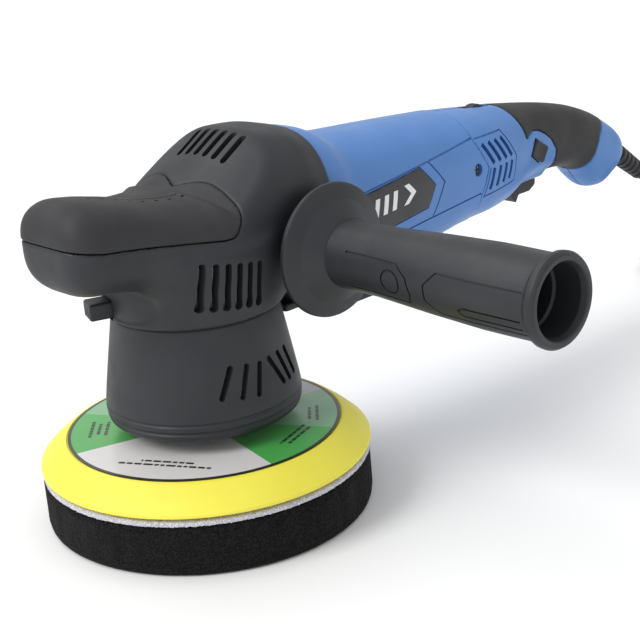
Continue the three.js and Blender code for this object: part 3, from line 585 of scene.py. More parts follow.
BLACK = (0.0155, 0.0170, 0.0215)
looks = {
    "black": moulded("black_plastic", BLACK, 0.52, grain=0.55, pitch=0.5, spread=0.08),
    "soft": moulded("soft_grip", (0.0190, 0.0192, 0.0215), 0.62, grain=0.8, pitch=0.42, spread=0.1),
    "handle": moulded("side_handle_plastic", (0.0145, 0.0165, 0.0205), 0.47, pitch=0.5, spread=0.08),
    "blue": moulded("blue_plastic", (0.070, 0.205, 0.520), 0.42, 0.3, 0.4, 0.05, coat=0.05),
    "yellow": moulded("yellow_plate", (0.86, 0.78, 0.075), 0.5, grain=0.2, pitch=0.7, spread=0.03),
    "badge": moulded("badge_plate", (0.030, 0.031, 0.035), 0.42, grain=0.25, pitch=0.6),
    "mark": moulded("badge_marks", (0.80, 0.81, 0.82), 0.42, grain=0.1, spread=0.02),
    "rubber": moulded("cord_rubber", (0.016, 0.016, 0.018), 0.5, grain=0.3, pitch=0.8),
    "nylon": moulded("fan_nylon", (0.16, 0.17, 0.18), 0.5),
    "hook": moulded("hook_sheet", (0.010, 0.010, 0.012), 0.9, grain=1.0, pitch=0.9),
    "carbon": moulded("carbon", (0.02, 0.02, 0.022), 0.7, grain=0.8),
    "foam": foam_material(),
    "fleece": fleece_material(),
    "green": printed("label_green", (0.075, 0.42, 0.085)),
    # The pale green is a lighter green painted where the gloss label reflects light: a painted reflection,
    # not a print colour.
    "painted_reflection_green": printed("label_painted_reflection_green", (0.22, 0.50, 0.27)),
    "white": printed("label_white", (0.74, 0.72, 0.71)),
    "grey": printed("label_grey", (0.60, 0.60, 0.60)),
    "ink": printed("label_ink", (0.016, 0.018, 0.017)),
    "steel": metal("steel", (0.56, 0.57, 0.58), 0.3),
    "dark_steel": metal("dark_steel", (0.20, 0.205, 0.21), 0.42),
    "aluminium": metal("cast_aluminium", (0.55, 0.56, 0.57), 0.5, cast=True),
    "copper": metal("copper", (0.72, 0.30, 0.14), 0.35),
    "brass": metal("brass", (0.72, 0.52, 0.20), 0.32),
}
SLOTS = {"handle": "black", "mark": "badge", "green": "label", "painted_reflection_green": "label", "white": "label",
         "grey": "label", "ink": "label"}


def finish_piece(obj, look, body, *nodes):
    """Gives a piece its material, its body and the CAD nodes it stands for."""
    if not any(obj.data.materials):
        obj.data.materials.clear()
        obj.data.materials.append(looks[look])
    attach(obj, body)
    if nodes:
        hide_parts(*nodes)
    SLOTS.get(look, look)
    return obj


# ------------------------------------------------------------------ camera
CAMERA_PLACE = (-400.0, -520.4, 313.75)
CAMERA_AZIMUTH, CAMERA_ELEVATION, CAMERA_ROLL = -42.5, 19.35, -4.6
CAMERA_LENS = 84.375


def make_camera():
    data = bpy.data.cameras.new("camera")
    data.sensor_width = 36
    data.lens = CAMERA_LENS
    data.clip_start, data.clip_end = 0.05, 20
    camera = new_object("camera", data)
    a, e, r = (math.radians(v) for v in (CAMERA_AZIMUTH, CAMERA_ELEVATION, CAMERA_ROLL))
    back = Vector((math.sin(a) * math.cos(e), -math.cos(a) * math.cos(e), math.sin(e)))
    right = (-back).cross(Vector((0, 0, 1))).normalized()
    up = back.cross(right)
    tilted_right = math.cos(r) * right + math.sin(r) * up
    tilted_up = math.cos(r) * up - math.sin(r) * right
    turn = Matrix((tilted_right, tilted_up, back)).transposed()
    camera.matrix_world = Matrix.Translation(Vector(CAMERA_PLACE) * MM) @ turn.to_4x4()
    WORLD.camera = camera


make_camera()

# ------------------------------------------------------------------ cord
CORD_RADIUS = 3.8
CORD_FLOOR = 3.9
BOOT_START = Vector((318, 0, 103))
BOOT_SLOPE = 0.6
BOOT_LENGTH = 40
CORD_IN_BOOT = 20
COIL_X, COIL_Y = 448, -20
COIL_OUTER_TURN = 53
COIL_STEP = 7.62
boot_way = Vector((math.cos(BOOT_SLOPE), 0, -math.sin(BOOT_SLOPE)))
boot_place = shift(*BOOT_START) @ boot_way.to_track_quat("Z", "Y").to_matrix().to_4x4()


def along_boot(distance):
    return BOOT_START + boot_way * distance


def smooth_path(points, spacing=5.0):
    """Centripetal curve through given points, resampled evenly."""
    points = [Vector(p) for p in points]
    points = [2 * points[0] - points[1]] + points + [2 * points[-1] - points[-2]]
    path = []
    for p0, p1, p2, p3 in zip(points, points[1:], points[2:], points[3:]):
        t0 = 0.0
        t1 = t0 + (p1 - p0).length ** 0.5
        t2 = t1 + (p2 - p1).length ** 0.5
        t3 = t2 + (p3 - p2).length ** 0.5
        steps = max(2, int((p2 - p1).length / spacing))
        for step in range(steps):
            t = t1 + (t2 - t1) * step / steps
            a1 = p0 * ((t1 - t) / (t1 - t0)) + p1 * ((t - t0) / (t1 - t0))
            a2 = p1 * ((t2 - t) / (t2 - t1)) + p2 * ((t - t1) / (t2 - t1))
            a3 = p2 * ((t3 - t) / (t3 - t2)) + p3 * ((t - t2) / (t3 - t2))
            b1 = a1 * ((t2 - t) / (t2 - t0)) + a2 * ((t - t0) / (t2 - t0))
            b2 = a2 * ((t3 - t) / (t3 - t1)) + a3 * ((t - t1) / (t3 - t1))
            path.append(b1 * ((t2 - t) / (t2 - t1)) + b2 * ((t - t1) / (t2 - t1)))
    path.append(points[-2])
    return path


def coil_turns():
    """Nine turns, clockwise from above: three layers of three, each turn stepping to the next place."""
    radii = [COIL_OUTER_TURN - COIL_STEP * i for i in range(3)]
    heights = [CORD_FLOOR + COIL_STEP * i for i in range(3)]
    order = [(radii[0], heights[0]), (radii[1], heights[0]), (radii[2], heights[0]),
             (radii[2], heights[1]), (radii[2], heights[2]), (radii[1], heights[2]),
             (radii[1], heights[1]), (radii[0], heights[2]), (radii[0], heights[1])]
    steps = 40
    shift = 7
    points = []
    for turn, (radius, height) in enumerate(order):
        before = order[turn - 1] if turn else (radius, height)
        for step in range(steps):
            blend = min(1.0, step / shift)
            blend = blend * blend * (3 - 2 * blend)
            r = before[0] + (radius - before[0]) * blend
            z = before[1] + (height - before[1]) * blend
            angle = math.pi / 2 - 2 * math.pi * step / steps
            points.append(Vector((COIL_X + r * math.cos(angle), COIL_Y + r * math.sin(angle), z)))
    quarter = steps // 4
    for step in range(quarter + 1):
        angle = math.pi / 2 - 2 * math.pi * step / steps
        r, z = order[-1]
        points.append(Vector((COIL_X + r * math.cos(angle), COIL_Y + r * math.sin(angle), z)))
    return points


def cord_piece():
    lead = [along_boot(BOOT_LENGTH - CORD_IN_BOOT), along_boot(BOOT_LENGTH), along_boot(BOOT_LENGTH + 14),
            (374, 4, 58), (382, 11, 38), (389, 20, 17), (400, 29, 5.6),
            (418.2, COIL_Y + COIL_OUTER_TURN, CORD_FLOOR)]
    turns = coil_turns()
    end_x = COIL_X + COIL_OUTER_TURN
    end = [(end_x, COIL_Y - 14, 12.2), (end_x, COIL_Y - 28, 13.4), (end_x, COIL_Y - 42, 13.6)]
    path = smooth_path(lead) + turns + smooth_path([turns[-1], *end])[1:]
    curve = bpy.data.curves.new("cord_and_coil", "CURVE")
    curve.dimensions = "3D"
    curve.bevel_depth = CORD_RADIUS * MM
    curve.bevel_resolution = 3
    curve.use_fill_caps = True
    spline = curve.splines.new("POLY")
    spline.points.add(len(path) - 1)
    for point, place in zip(spline.points, path):
        point.co = (*(place * MM), 1)
    return new_object("cord_and_coil", curve)


def boot_piece():
    """Tapered strain relief with ribs, bored for the cord."""
    profile = [(4.1, 19.7, 0), (4.1, -9, 0), (5.6, -9, 0.6),
               (5.6, 5.6, 0.4), (6.3, 6.4, 0.5), (6.3, 8.6, 0.5)]
    for rib in range(6):
        near = 9.6 + 5 * rib
        radius = 6.0 - 0.17 * rib
        profile += [(radius - 0.9, near, 0.25), (radius - 0.9, near + 1.3, 0.25),
                    (radius, near + 1.6, 0.35), (radius - 0.1, near + 4.6, 0.35)]
    profile += [(4.5, BOOT_LENGTH - 0.4, 0.3), (4.1, BOOT_LENGTH, 0), (4.1, 19.7, 0)]
    obj = turned("cable_boot_ribbed", filleted(profile, 3), 40)
    obj.data.transform(boot_place)
    return crisp(obj, 40)


def plug_piece():
    """Moulded two-pin plug with a grip waist and ribbed sleeve."""
    x, y, z = COIL_X + COIL_OUTER_TURN, COIL_Y - 41.3, 13.6

    def body(px, py, pz):
        depth = y - py
        sleeve = np.maximum(np.hypot(px - x, pz - z) - (5.3 + 0.05 * depth + 0.35 * np.sin(depth * 1.5)),
                            np.maximum(-depth, depth - 26))
        wide = curve_through([18, 24, 33, 44, 54], [9, 13.5, 12.6, 16.4, 17.2])(depth)
        head = np.sqrt(((px - x) / wide) ** 2 + ((pz - z) / (wide * 0.75)) ** 2)
        head = (head - 1) * wide * 0.8
        head = smooth_max(head, np.maximum(19 - depth, depth - 54.5), 3)
        return smooth_min(sleeve, head, 3)
    obj = meshed("plug_body", body, (x - 20, y - 57, 0.2), (x + 20, y + 1, 28), 0.9)
    profile = filleted([(0, 53), (2.4, 53, 0), (2.4, 72.5, 1.2), (1.2, 74, 0.6), (0, 74)])
    pins = [turned("pin", profile, 24) for _ in "ab"]
    for pin, side in zip(pins, (-9.5, 9.5)):
        pin.data.transform(shift(x + side, y, z) @ Matrix.Rotation(math.pi / 2, 4, "X"))
    return obj, pins


def make_cord():
    cord = cord_piece()
    cord.data.materials.append(looks["rubber"])
    finish_piece(boot_piece(), "rubber", "housing", "cable_boot")
    plug, pins = plug_piece()
    finish_piece(plug, "rubber", "housing", "plug")
    for number, pin in enumerate(pins):
        pin.name = f"plug_pin_{number + 1}"
        finish_piece(pin, "steel", "housing")
    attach(cord, "housing")
    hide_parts("cord", "cord_coil", "cord_end")
    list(pins)


make_cord()


# ------------------------------------------------------------------ pad and backing plate
def foam_pad():
    profile = [(0, 0), (72, 0, 0), (76.4, 0.2, 2.6), (77.0, 4.5, 3), (76.9, 21, 2),
               (76.2, 23.6, 1.4), (73, 23.7), (0, 23.7)]
    obj = turned("polishing_foam", filleted(profile, 6), 220, start=(PAD_X, PAD_Y, 0))
    rng = np.random.default_rng(4)
    for v in obj.data.vertices:
        away = Vector((v.co.x - PAD_X * MM, v.co.y - PAD_Y * MM))
        if away.length > 0.06:
            wobble = 0.35 * math.sin(3 * math.atan2(away.y, away.x) + 0.7) + rng.normal(0, 0.05)
            v.co.x += away.x / away.length * wobble * MM
            v.co.y += away.y / away.length * wobble * MM
    finish_piece(obj, "foam", "pad", "foam_pad")


def fleece_ring():
    """Loop fleece between foam and plate, with an uneven brushed edge."""
    rng = np.random.default_rng(7)
    segments = 720
    rows = [(20, 23.8), (75.6, 23.8), (76.7, 24.2), (77.0, 25), (76.7, 25.9), (75.8, 26.3), (20, 26.3)]
    points, faces = [], []
    fuzz = rng.normal(0, 1, (len(rows), segments))
    for row, (radius, height) in enumerate(rows):
        for i in range(segments):
            a = 2 * math.pi * i / segments
            rough = 0.12 * fuzz[row, i] if radius > 70 else 0
            lift = 0.1 * fuzz[row, (i * 7) % segments] if 0 < row < 6 else 0
            reach = radius + rough
            points.append((PAD_X + reach * math.cos(a), PAD_Y + reach * math.sin(a), height + lift))
    for row in range(len(rows)):
        upper = (row + 1) % len(rows)
        for i in range(segments):
            j = (i + 1) % segments
            faces.append([row * segments + i, row * segments + j, upper * segments + j, upper * segments + i])
    obj = mesh_of("fleece_ring", points, faces)
    finish_piece(obj, "fleece", "pad", "loop_backing")


def backing_plate():
    profile = [
        (17.4, 27.6), (76.2, 27.6, 0), (77.5, 28.3, 0.8), (77.4, 29.8, 1.4), (72.4, 34.4, 5),
        (65.9, 39.2, 1.2), (64.6, 39.75, 0.8), (64.3, 39.3, 0.2), (17.4, 39.3, 0), (17.4, 27.6),
    ]
    obj = turned("yellow_plate", filleted(profile, 6), 200, start=(PAD_X, PAD_Y, 0))
    finish_piece(crisp(obj, 45), "yellow", "pad", "backing_plate")


LABEL_TOP = 39.95
# The pale green fans are painted reflection, lighter green where the label catches light; the other fans are
# print.
SECTORS = (
    ("white", 161, 257), ("green", 257, 300), ("painted_reflection_green", 300, 344), ("grey", 344, 390), ("green", 30, 76),
    ("painted_reflection_green", 76, 118), ("green", 118, 161),
)


def label_disc():
    """The printed disc: colour fans round the hub, of which the pale green fans are painted reflection rather
    than print, and a dark rim. The printed disc: colour fans round the hub, a dark rim and rows of plain bars
    for the print.
    """
    angle_step = 2
    points, faces, kinds = [], [], []
    rings = [18.2, 30, 45, 62.4]
    names = ["white", "green", "painted_reflection_green", "grey", "ink"]
    for a in range(0, 360, angle_step):
        for r in rings + [63.9]:
            turn = math.radians(a)
            points.append((PAD_X + r * math.cos(turn), PAD_Y + r * math.sin(turn), LABEL_TOP))
    count, columns = 360 // angle_step, len(rings) + 1
    lookup = {a % 360: kind for kind, low, high in SECTORS for a in range(low, high)}
    for i in range(count):
        j = (i + 1) % count
        for c in range(columns - 1):
            faces.append([i * columns + c, i * columns + c + 1, j * columns + c + 1, j * columns + c])
            kinds.append(4 if c == columns - 2 else names.index(lookup[i * angle_step]))
    top = len(points)
    points += [(x, y, z - 0.5) for x, y, z in points]
    for i in range(count):
        j = (i + 1) % count
        for c in (0, columns - 1):
            side = [i * columns + c, j * columns + c, top + j * columns + c, top + i * columns + c]
            faces.append(side if c else side[::-1])
            kinds.append(4)
        inner, outer = top + i * columns, top + j * columns
        faces.append([inner, outer, outer + columns - 1, inner + columns - 1])
        kinds.append(4)
    obj = mesh_of("label_disc", points, faces, smooth=False)
    for name in names:
        obj.data.materials.append(looks[name])
    obj.data.polygons.foreach_set("material_index", kinds)
    finish_piece(obj, "white", "pad", "plate_label")


def label_bars():
    """Plain bars where a label carries its print, turned to read from the rim."""
    rng = np.random.default_rng(11)
    blocks = [(209, 49, (44, 25)), (288, 51, (19, 22)), (317, 53, (17, 14)), (137, 53, (18, 12, 15))]
    pieces = []
    for angle, radius, rows in blocks:
        turn = math.radians(angle)
        for row, width in enumerate(rows):
            x = -width / 2
            while x < width / 2:
                long = float(rng.uniform(1.6, 4.6))
                r = radius - 3.6 * row
                bar = block("bar", (x, r - 0.75, LABEL_TOP + 0.02),
                            (min(x + long, width / 2), r + 0.75, LABEL_TOP + 0.1))
                bar.data.transform(shift(PAD_X, PAD_Y, 0) @ Matrix.Rotation(turn + 1.5 * math.pi, 4, "Z"))
                pieces.append(bar)
                x += long + 0.9
    obj = joined("label_bars", pieces)
    finish_piece(obj, "ink", "pad")


foam_pad()
fleece_ring()
backing_plate()
label_disc()
label_bars()


# ------------------------------------------------------------------ skirt
SKIRT_SLOTS = (
    (-17.6, 72.3, 16.6, 25), (-9.5, 71.2, 16.4, 20), (-1.9, 70.4, 16, 15),
    (9.4, 70.8, 17.6, -29), (15.4, 70.9, 17.4, -23), (21.2, 71.3, 16.4, -21),
)


def skirt_slots(side):
    """Three slots lean each way on either side of a plain triangle: (x, z, length, lean)."""
    return [prism("slot", rounded_bar(x, z, 2.6, length, lean), *sorted((side * 30, side * 56)))
            for x, z, length, lean in SKIRT_SLOTS]


def rounded_bar(x, z, width, height, lean):
    """A slot outline with round ends, leaning by degrees."""
    r = width / 2
    outline = []
    for end, start in ((1, 0), (-1, 180)):
        for step in range(9):
            a = math.radians(start + 180 * step / 8)
            outline.append((r * math.cos(a), end * (height / 2 - r) + r * math.sin(a)))
    c, s = math.cos(math.radians(lean)), math.sin(math.radians(lean))
    return [(x + a * c + b * s, z - a * s + b * c) for a, b in outline]


def skirt():
    outside = [
        (41.8, 46.8), (43.2, 46.8, 0.8), (44.9, 48.1, 1.6), (45.6, 50.2, 1), (45.0, 50.8, 0.3),
        (45.0, 51.5, 0.3), (45.7, 52.1, 0.6), (45.8, 54.2, 0.6), (45.3, 54.8, 0.3), (45.3, 55.4, 0.3),
        (45.7, 56.0, 0.6),
        (44.9, 61.4, 8), (42.4, 76, 20), (39.6, 92, 12), (38.9, 96.6, 1), (38.3, 97.6, 0.5),
    ]
    inside = [(35.6, 97.6), (35.9, 96, 3), (39.6, 76, 20), (41.8, 58, 8), (41.8, 46.8)]
    obj = turned("skirt_shell", filleted(outside, 5) + filleted(inside, 5), 180)
    cut(obj, skirt_slots(-1) + skirt_slots(1))
    finish_piece(crisp(obj, 34), "black", "housing", "skirt")


skirt()

# ------------------------------------------------------------------ head
HEAD_STATIONS = [
    (-76, 161.2, 120.8, 25.2), (-66, 161.2, 119.8, 25.4), (-55, 159.8, 118.4, 25.8),
    (-42, 156.8, 116.4, 27.4), (-28, 153.4, 113.5, 33), (-14, 152.4, 110, 38.6), (-4, 156.5, 107.5, 40.5),
    (6, 165.5, 105.5, 41.1), (18, 171.5, 101.5, 41.1), (30, 173.4, 99, 41), (42, 172.8, 95, 40.5),
    (55.5, 169.6, 84, 39.2), (58, 169, 83.6, 39),
]
HEAD_REAR = 55.5
COLLAR_RADIUS = 40.9
head_skin = skin(HEAD_STATIONS, 2.75, nose=15)
PALM_OUTLINE = [
    (-110, 149), (-88, 146.2), (-80, 145), (-62.5, 141.5), (-40, 138.8), (-19, 137), (-10, 136), (-6, 136.1),
    (-3.4, 137.4), (-1.6, 140.4), (0, 144), (1, 148.5), (1.6, 153), (1.6, 190), (-110, 190),
]
palm_outline = outline_field(PALM_OUTLINE)


def vent_panel(x, y):
    """Height of the sloping face that carries the top vents; it leaves the snout alone."""
    slope = 165.1 + 0.62 * (x - 12.5) - 0.0075 * y * y
    return smooth_max(slope, 152.8 + 1.3 * (-9 - x), 3)


def pocket(x, y, z):
    """The hollow under the snout beside the collar: a long round-ended groove in side view."""
    along = np.maximum(x + 45, 0)
    return np.maximum(np.hypot(along, z - 108.4) - 9, 40.6 - np.hypot(x, y))


def head_body(x, y, z):
    """The whole outer shape of the head: snout, hump and the collar over the skirt."""
    body = head_skin(x, y, z)
    body = smooth_max(body, (z - vent_panel(x, y)) * 0.85, 2.2)
    rise = np.clip((z - 98) / 9, 0, 1)
    collar = np.hypot(x, y) - (COLLAR_RADIUS + 0.8 * rise * rise * (3 - 2 * rise))
    collar_top = 119 + 9 * np.clip((x + 36) / 14, 0, 1)
    collar = smooth_max(collar, z - collar_top, 4)
    body = smooth_min(body, collar, 11)
    body = smooth_max(body, -pocket(x, y, z), 2.4)
    body = smooth_max(body, 98.05 - z - 40 * np.clip((x - 40) / 5, 0, 1), 1.2)
    return smooth_max(body, x - HEAD_REAR, 1.0)


def palm_region(x, y, z):
    """Distance to the palm grip's region: the side outline, with two lobes round a notch on top."""
    notch = (x + 5.4 - 0.46 * np.abs(y)) * 0.9
    return smooth_max(palm_outline(x, z), np.where(z > 146, notch, -20), 2.5)


def palm_grip():
    def field(x, y, z):
        body = head_body(x, y, z)
        grip = smooth_max(body - 0.15, palm_region(x, y, z), 1.1)
        return np.maximum(grip, -(body + PALM_SKIN))
    obj = meshed("palm_grip_skin", field, (-84, -46, 128), (14, 46, 172), 0.8)
    dimples = []
    for i in range(8):
        x, y = -51 + 5.7 * i, -0.6 - 1.9 * i
        dimple = turned("dimple", [(0, -0.9), (0.8, -0.9), (1.0, 3), (0, 3)], 12)
        dimple.data.transform(shift(x, y, top_of_head(x, y) - 0.2))
        dimples.append(dimple)
    cut(obj, dimples)
    line = [(-51, 22), (-50.6, 4), (-48, 1.5), (-31, -2.5), (-11, -9.5)]
    ribbon = prism("line", stroke(line, 0.7), 120, 190, plane="xy")
    core = inner_core(head_body, 0.45, (-60, -20, 140), (2, 30, 174), 1.2)
    boolean(ribbon, core)
    boolean(obj, ribbon)
    finish_piece(crisp(obj, 50), "soft", "housing", "palm_grip")


def top_of_head(x, y):
    """Height of the head's upper surface over a point."""
    z = np.linspace(140, 175, 701)
    values = head_body(np.full(701, float(x)), np.full(701, float(y)), z)
    return float(z[np.argmax(values > 0)])


def head_cover():
    def field(x, y, z):
        body = head_body(x, y, z)
        shell = np.maximum(body, -(body + HEAD_WALL))
        opening = np.hypot(x, y) - 36.6
        shell = smooth_max(shell, -np.maximum(opening, z - 112), 1)
        mouth = head_skin(x, y, z) + HEAD_WALL
        shell = np.maximum(shell, -np.maximum(mouth, 47 - x))
        recess = np.maximum(palm_region(x, y, z) - SEAM, -(body + PALM_SKIN + 0.2))
        shell = smooth_max(shell, -recess, 0.8)
        lip = box_field(x, y, z, (79, 0, 81.2), (13, 26, 1.5), 1.0)
        stem = box_field(x, y, z, (60, 0, 81.8), (12, 8, 2), 1.0)
        return smooth_min(shell, smooth_min(lip, stem, 6), 2)
    obj = meshed("head_shell", field, (-84, -46, 76), (96, 46, 176), 0.95)
    tools = []
    for i in range(6):
        y = (i - 2.5) * 6.1
        outline = [(x, y + w) for w, x in rounded_bar(0, 18.8, 3.2, 15.5, 0)]
        tools.append(prism("vent", outline, 148, 182, plane="xy"))
    for side in (-1, 1):
        for i in range(6):
            outline = hooked_slot(-23.6 + VENT_PITCH * i, 106 - 0.6 * i, 128.5 - 0.9 * i, 2.9)
            tools.append(prism("vent", outline, *sorted((side * 22, side * 50))))
        tools.append(turned("boss_hole", [(0, 20), (9.4, 20), (9.4, 60), (0, 60)], 48, axis="y"))
        turn = Matrix.Rotation(0 if side > 0 else math.pi, 4, "Z")
        tools[-1].data.transform(shift(SIDE_HANDLE_X, 0, SIDE_HANDLE_Z) @ turn)
    lock = block("lock_hole", (30, -6.4, LOCK_Z - 4.9), (60, 6.4, LOCK_Z + 4.9))
    lock.data.transform(Matrix.Rotation(LOCK_ANGLE, 4, "Z"))
    tools.append(lock)
    cut(obj, tools)
    finish_piece(crisp(obj, 50), "black", "housing", "head_cover")


def hooked_slot(x, low, high, width):
    """An upright slot whose rounded lower end swells forward, as an outline."""
    r = width / 2
    top = [(x + 0.5 + r * math.cos(math.radians(a)), high - r + r * math.sin(math.radians(a)))
           for a in range(0, 181, 20)]
    bulb = [(x - 0.5 + 1.35 * r * math.cos(math.radians(a)), low + 1.35 * r * (1 + math.sin(math.radians(a))))
            for a in range(150, 361, 21)]
    return top + [(x + 0.2 - r, low + 5.5)] + bulb


palm_grip()
head_cover()

# ------------------------------------------------------------------ motor housing
MOTOR_STATIONS = [
    (53, 169.2, 83.3, 38.9), (60, 168.2, 83.3, 38.8), (67, 166.3, 83.6, 38.3), (72, 163, 84.2, 37.4),
    (77, 160.8, 84.6, 36.8),
    (90, 159.4, 85.4, 36.2), (120, 157.4, 88.4, 34.6), (145, 155.6, 91.2, 32.8), (166, 154, 93.6, 31.2),
    (178, 153.2, 94, 30.6),
]
motor_skin = skin(MOTOR_STATIONS, 2.45)
MOTOR_SEAM = [
    (55.9, 60), (170, 60), (169, 112), (174.5, 125.7), (166.5, 140.7), (165.5, 149), (169, 154), (171, 180),
    (55.9, 180),
]
motor_region = outline_field(MOTOR_SEAM)
BADGE = [(66, 133.2), (120.5, 138), (130, 127.5), (123.5, 117.6), (84, 113.5), (66, 118)]
badge_region = outline_field(BADGE)
MOTOR_SCREW = (165.6, 0, 126.6)


def widened(outline, distance):
    count = len(outline)
    area = sum(a[0] * b[1] - b[0] * a[1] for a, b in zip(outline, outline[1:] + outline[:1]))
    turn = 1 if area > 0 else -1
    grown = []
    for i, p in enumerate(outline):
        before, after = np.array(outline[i - 1]), np.array(outline[(i + 1) % count])
        p = np.array(p, float)
        n1 = np.array([p[1] - before[1], before[0] - p[0]])
        n2 = np.array([after[1] - p[1], p[0] - after[0]])
        n1, n2 = n1 / np.linalg.norm(n1), n2 / np.linalg.norm(n2)
        grown.append(tuple(p + (n1 + n2) * turn * distance / (1 + n1 @ n2)))
    return grown


def side_grooves(field, lines, width, depth, low, high, step=1.6):
    """Tools that engrave flat lines into both flanks of a housing to one depth."""
    core = inner_core(field, depth, low, high, step)
    tools = []
    for side in (-1, 1):
        ribbon = [prism("groove", stroke(line, width, closed), *sorted((side * 12, side * 60)))
                  for line, closed in lines]
        whole = ribbon[0]
        for other in ribbon[1:]:
            boolean(whole, other, "UNION")
        tools.append(boolean(whole, core, keep=True))
    remove(core)
    return tools


def motor_housing():
    def outer(x, y, z):
        return smooth_max(motor_skin(x, y, z), motor_region(x, z), 0.9)

    def field(x, y, z):
        return np.maximum(outer(x, y, z), -(motor_skin(x, y, z) + MOTOR_WALL))
    obj = meshed("motor_shell", field, (53, -42, 80), (178, 42, 171), 0.98)
    lines = [
        ([(74, 135.2), (165.6, 142.6)], False),
        ([(88, 108.6), (124, 111.2), (168.4, 113.6)], False),
        ([(127.5, 139.6), (137.5, 127.3), (127.5, 111.5)], False),
    ]
    tools = side_grooves(motor_skin, lines, 0.9, 0.8, (60, -42, 80), (172, 42, 164))
    recess = prism("badge_recess", widened(BADGE, 0.5), -60, 60)
    core = inner_core(motor_skin, 0.7, (58, -42, 80), (172, 42, 164))
    boolean(recess, core)
    tools.append(recess)
    hole = turned("screw_hole", [(0, -60), (3.3, -60), (3.3, 60), (0, 60)], 40, axis="y", start=MOTOR_SCREW)
    for tool in tools:
        boolean(obj, tool)
    boolean(obj, hole)
    finish_piece(crisp(obj, 40), "blue", "housing", "motor_housing")


def screw_heads():
    profile = filleted([(0, 26), (3, 26, 0), (3, 29.4, 0.5), (1.2, 29.8, 0), (0, 29.8)], 3)
    for side in (-1, 1):
        head = turned("head", profile, 40, axis="y")
        cross = [block("slot", (-2, 28.6, -0.45), (2, 31, 0.45)),
                 block("slot", (-0.45, 28.6, -2), (0.45, 31, 2))]
        boolean(cross[0], cross[1], "UNION")
        boolean(head, cross[0])
        turn = Matrix.Rotation(0 if side > 0 else math.pi, 4, "Z")
        head.data.transform(shift(*MOTOR_SCREW) @ turn)
        word = "left" if side < 0 else "right"
        head.name = f"motor_screw_head_{word}"
        finish_piece(crisp(head, 35), "dark_steel", "housing", f"motor_screw_{word}")


def badges():
    """Dark plates with a plain mark of slanted bars and a chevron."""
    for side, word in ((-1, "left"), (1, "right")):
        def plate(x, y, z, side=side):
            depth = motor_skin(x, y, z)
            sheet = np.maximum(depth - 0.55, -(depth + 0.55))
            return smooth_max(smooth_max(sheet, badge_region(x, z), 0.5), -side * y + 12, 0.5)
        near, far = sorted((side * 20, side * 42))
        obj = meshed(f"badge_plate_{word}", plate, (62, near, 108), (134, far, 142), 0.8)
        finish_piece(crisp(obj, 40), "badge", "housing", f"badge_{word}")
        bar = [(76, 121.4), (79, 121.5), (81.4, 130.4), (78.4, 130.3)]
        marks = [[(x + 6.6 * i, z + 0.45 * i) for x, z in bar] for i in range(4)]
        marks.append([(104.5, 123.2), (108.2, 123.4), (114.2, 128.2),
                      (109.8, 132.9), (106.1, 132.6), (110.4, 128.1)])
        tools = [prism("mark", outline, *sorted((side * 20, side * 60))) for outline in marks]
        group = joined("marks", tools)
        for offset, operation in ((0.72, "INTERSECT"), (-0.2, "DIFFERENCE")):
            core = inner_core(motor_skin, -offset, (60, -44, 80), (130, 44, 170))
            boolean(group, core, operation)
        group.name = f"badge_mark_{word}"
        finish_piece(crisp(group, 40), "mark", "housing")


motor_housing()
screw_heads()
badges()

# ------------------------------------------------------------------ rear handle
HANDLE_STATIONS = [
    (150, 155.2, 91.6, 32.2), (165.4, 154, 93.5, 31.2), (178, 152.6, 94, 30.4), (188, 151.4, 94.2, 29.2),
    (204, 149.4, 95.6, 25.8), (214, 148.2, 98.8, 23.6), (223, 146.8, 102.8, 21.8), (240, 144, 104.8, 19.4),
    (254, 141.4, 104.4, 18.2), (264, 139.2, 103.4, 17.6), (273, 136.9, 101.4, 17.2), (280, 134.6, 97.2, 16.9),
    (287, 132, 89.6, 16.6), (294, 129, 84.6, 16.3), (300, 125.8, 84, 15.8), (308, 120.9, 87.4, 15),
    (315, 115.8, 91.4, 13.6), (321.5, 110.6, 95.2, 11.8),
]
handle_skin = skin(HANDLE_STATIONS, 2.3, tail=11)
OVERMOLD = [
    (212, 165), (212.5, 148), (213, 144.6), (215.2, 136.5), (216, 131.6), (217, 131.2), (219, 132.6),
    (224, 134.2), (230.4, 132.8), (235.5, 130), (241, 126), (246.3, 119), (248.5, 110), (250, 104),
    (251, 90), (278, 90), (279, 98.6), (281.5, 103), (285.8, 111), (289.8, 117.2),
    (296, 121.6), (305, 125.4), (312, 150), (304, 165),
]
overmold_region = outline_field(OVERMOLD)
HANDLE_SCREWS = ((196, 106), (258, 120), (300, 100))


def handle_outer(x, y, z):
    body = handle_skin(x, y, z)
    house = box_field(x, y, z, (229, 0, 107), (16, 10, 4), 2.5)
    return smooth_min(body, house, 5)


def handle_half(side):
    def field(x, y, z):
        body = handle_outer(x, y, z)
        shell = np.maximum(body, -(handle_skin(x, y, z) + HANDLE_WALL))
        shell = smooth_max(shell, -(motor_region(x, z) - SEAM), 0.9)
        recess = np.maximum(overmold_region(x, z) - SEAM, -(body + OVERMOLD_SKIN + 0.2))
        shell = smooth_max(shell, -recess, 0.8)
        return smooth_max(shell, 0.12 - side * y, 0.6)
    low, high = ((158, -36, 78), (328, 2, 158)) if side < 0 else ((158, -2, 78), (328, 36, 158))
    return meshed("rear_shell_left" if side < 0 else "rear_shell_right", field, low, high, 0.95)


def chevron_slots(side):
    """Four arrowhead pairs of slots."""
    tools = []
    for i in range(4):
        x = 172.6 + 5.9 * i
        upper = stroke([(x, 138.2), (x + 7, 126.9)], 2.5)
        lower = stroke([(x + 7, 124.6), (x + 3.4, 113.8 + 0.6 * i)], 2.5)
        for outline in (upper, lower):
            tools.append(prism("slot", outline, *sorted((side * 14, side * 60))))
    return tools


def screw_hole(x, z):
    """The hole that sinks a handle screw in the right half."""
    return turned("screw_hole", [(0, 4), (3.7, 4), (3.7, 60), (0, 60)], 32, axis="y", start=(x, 0, z))


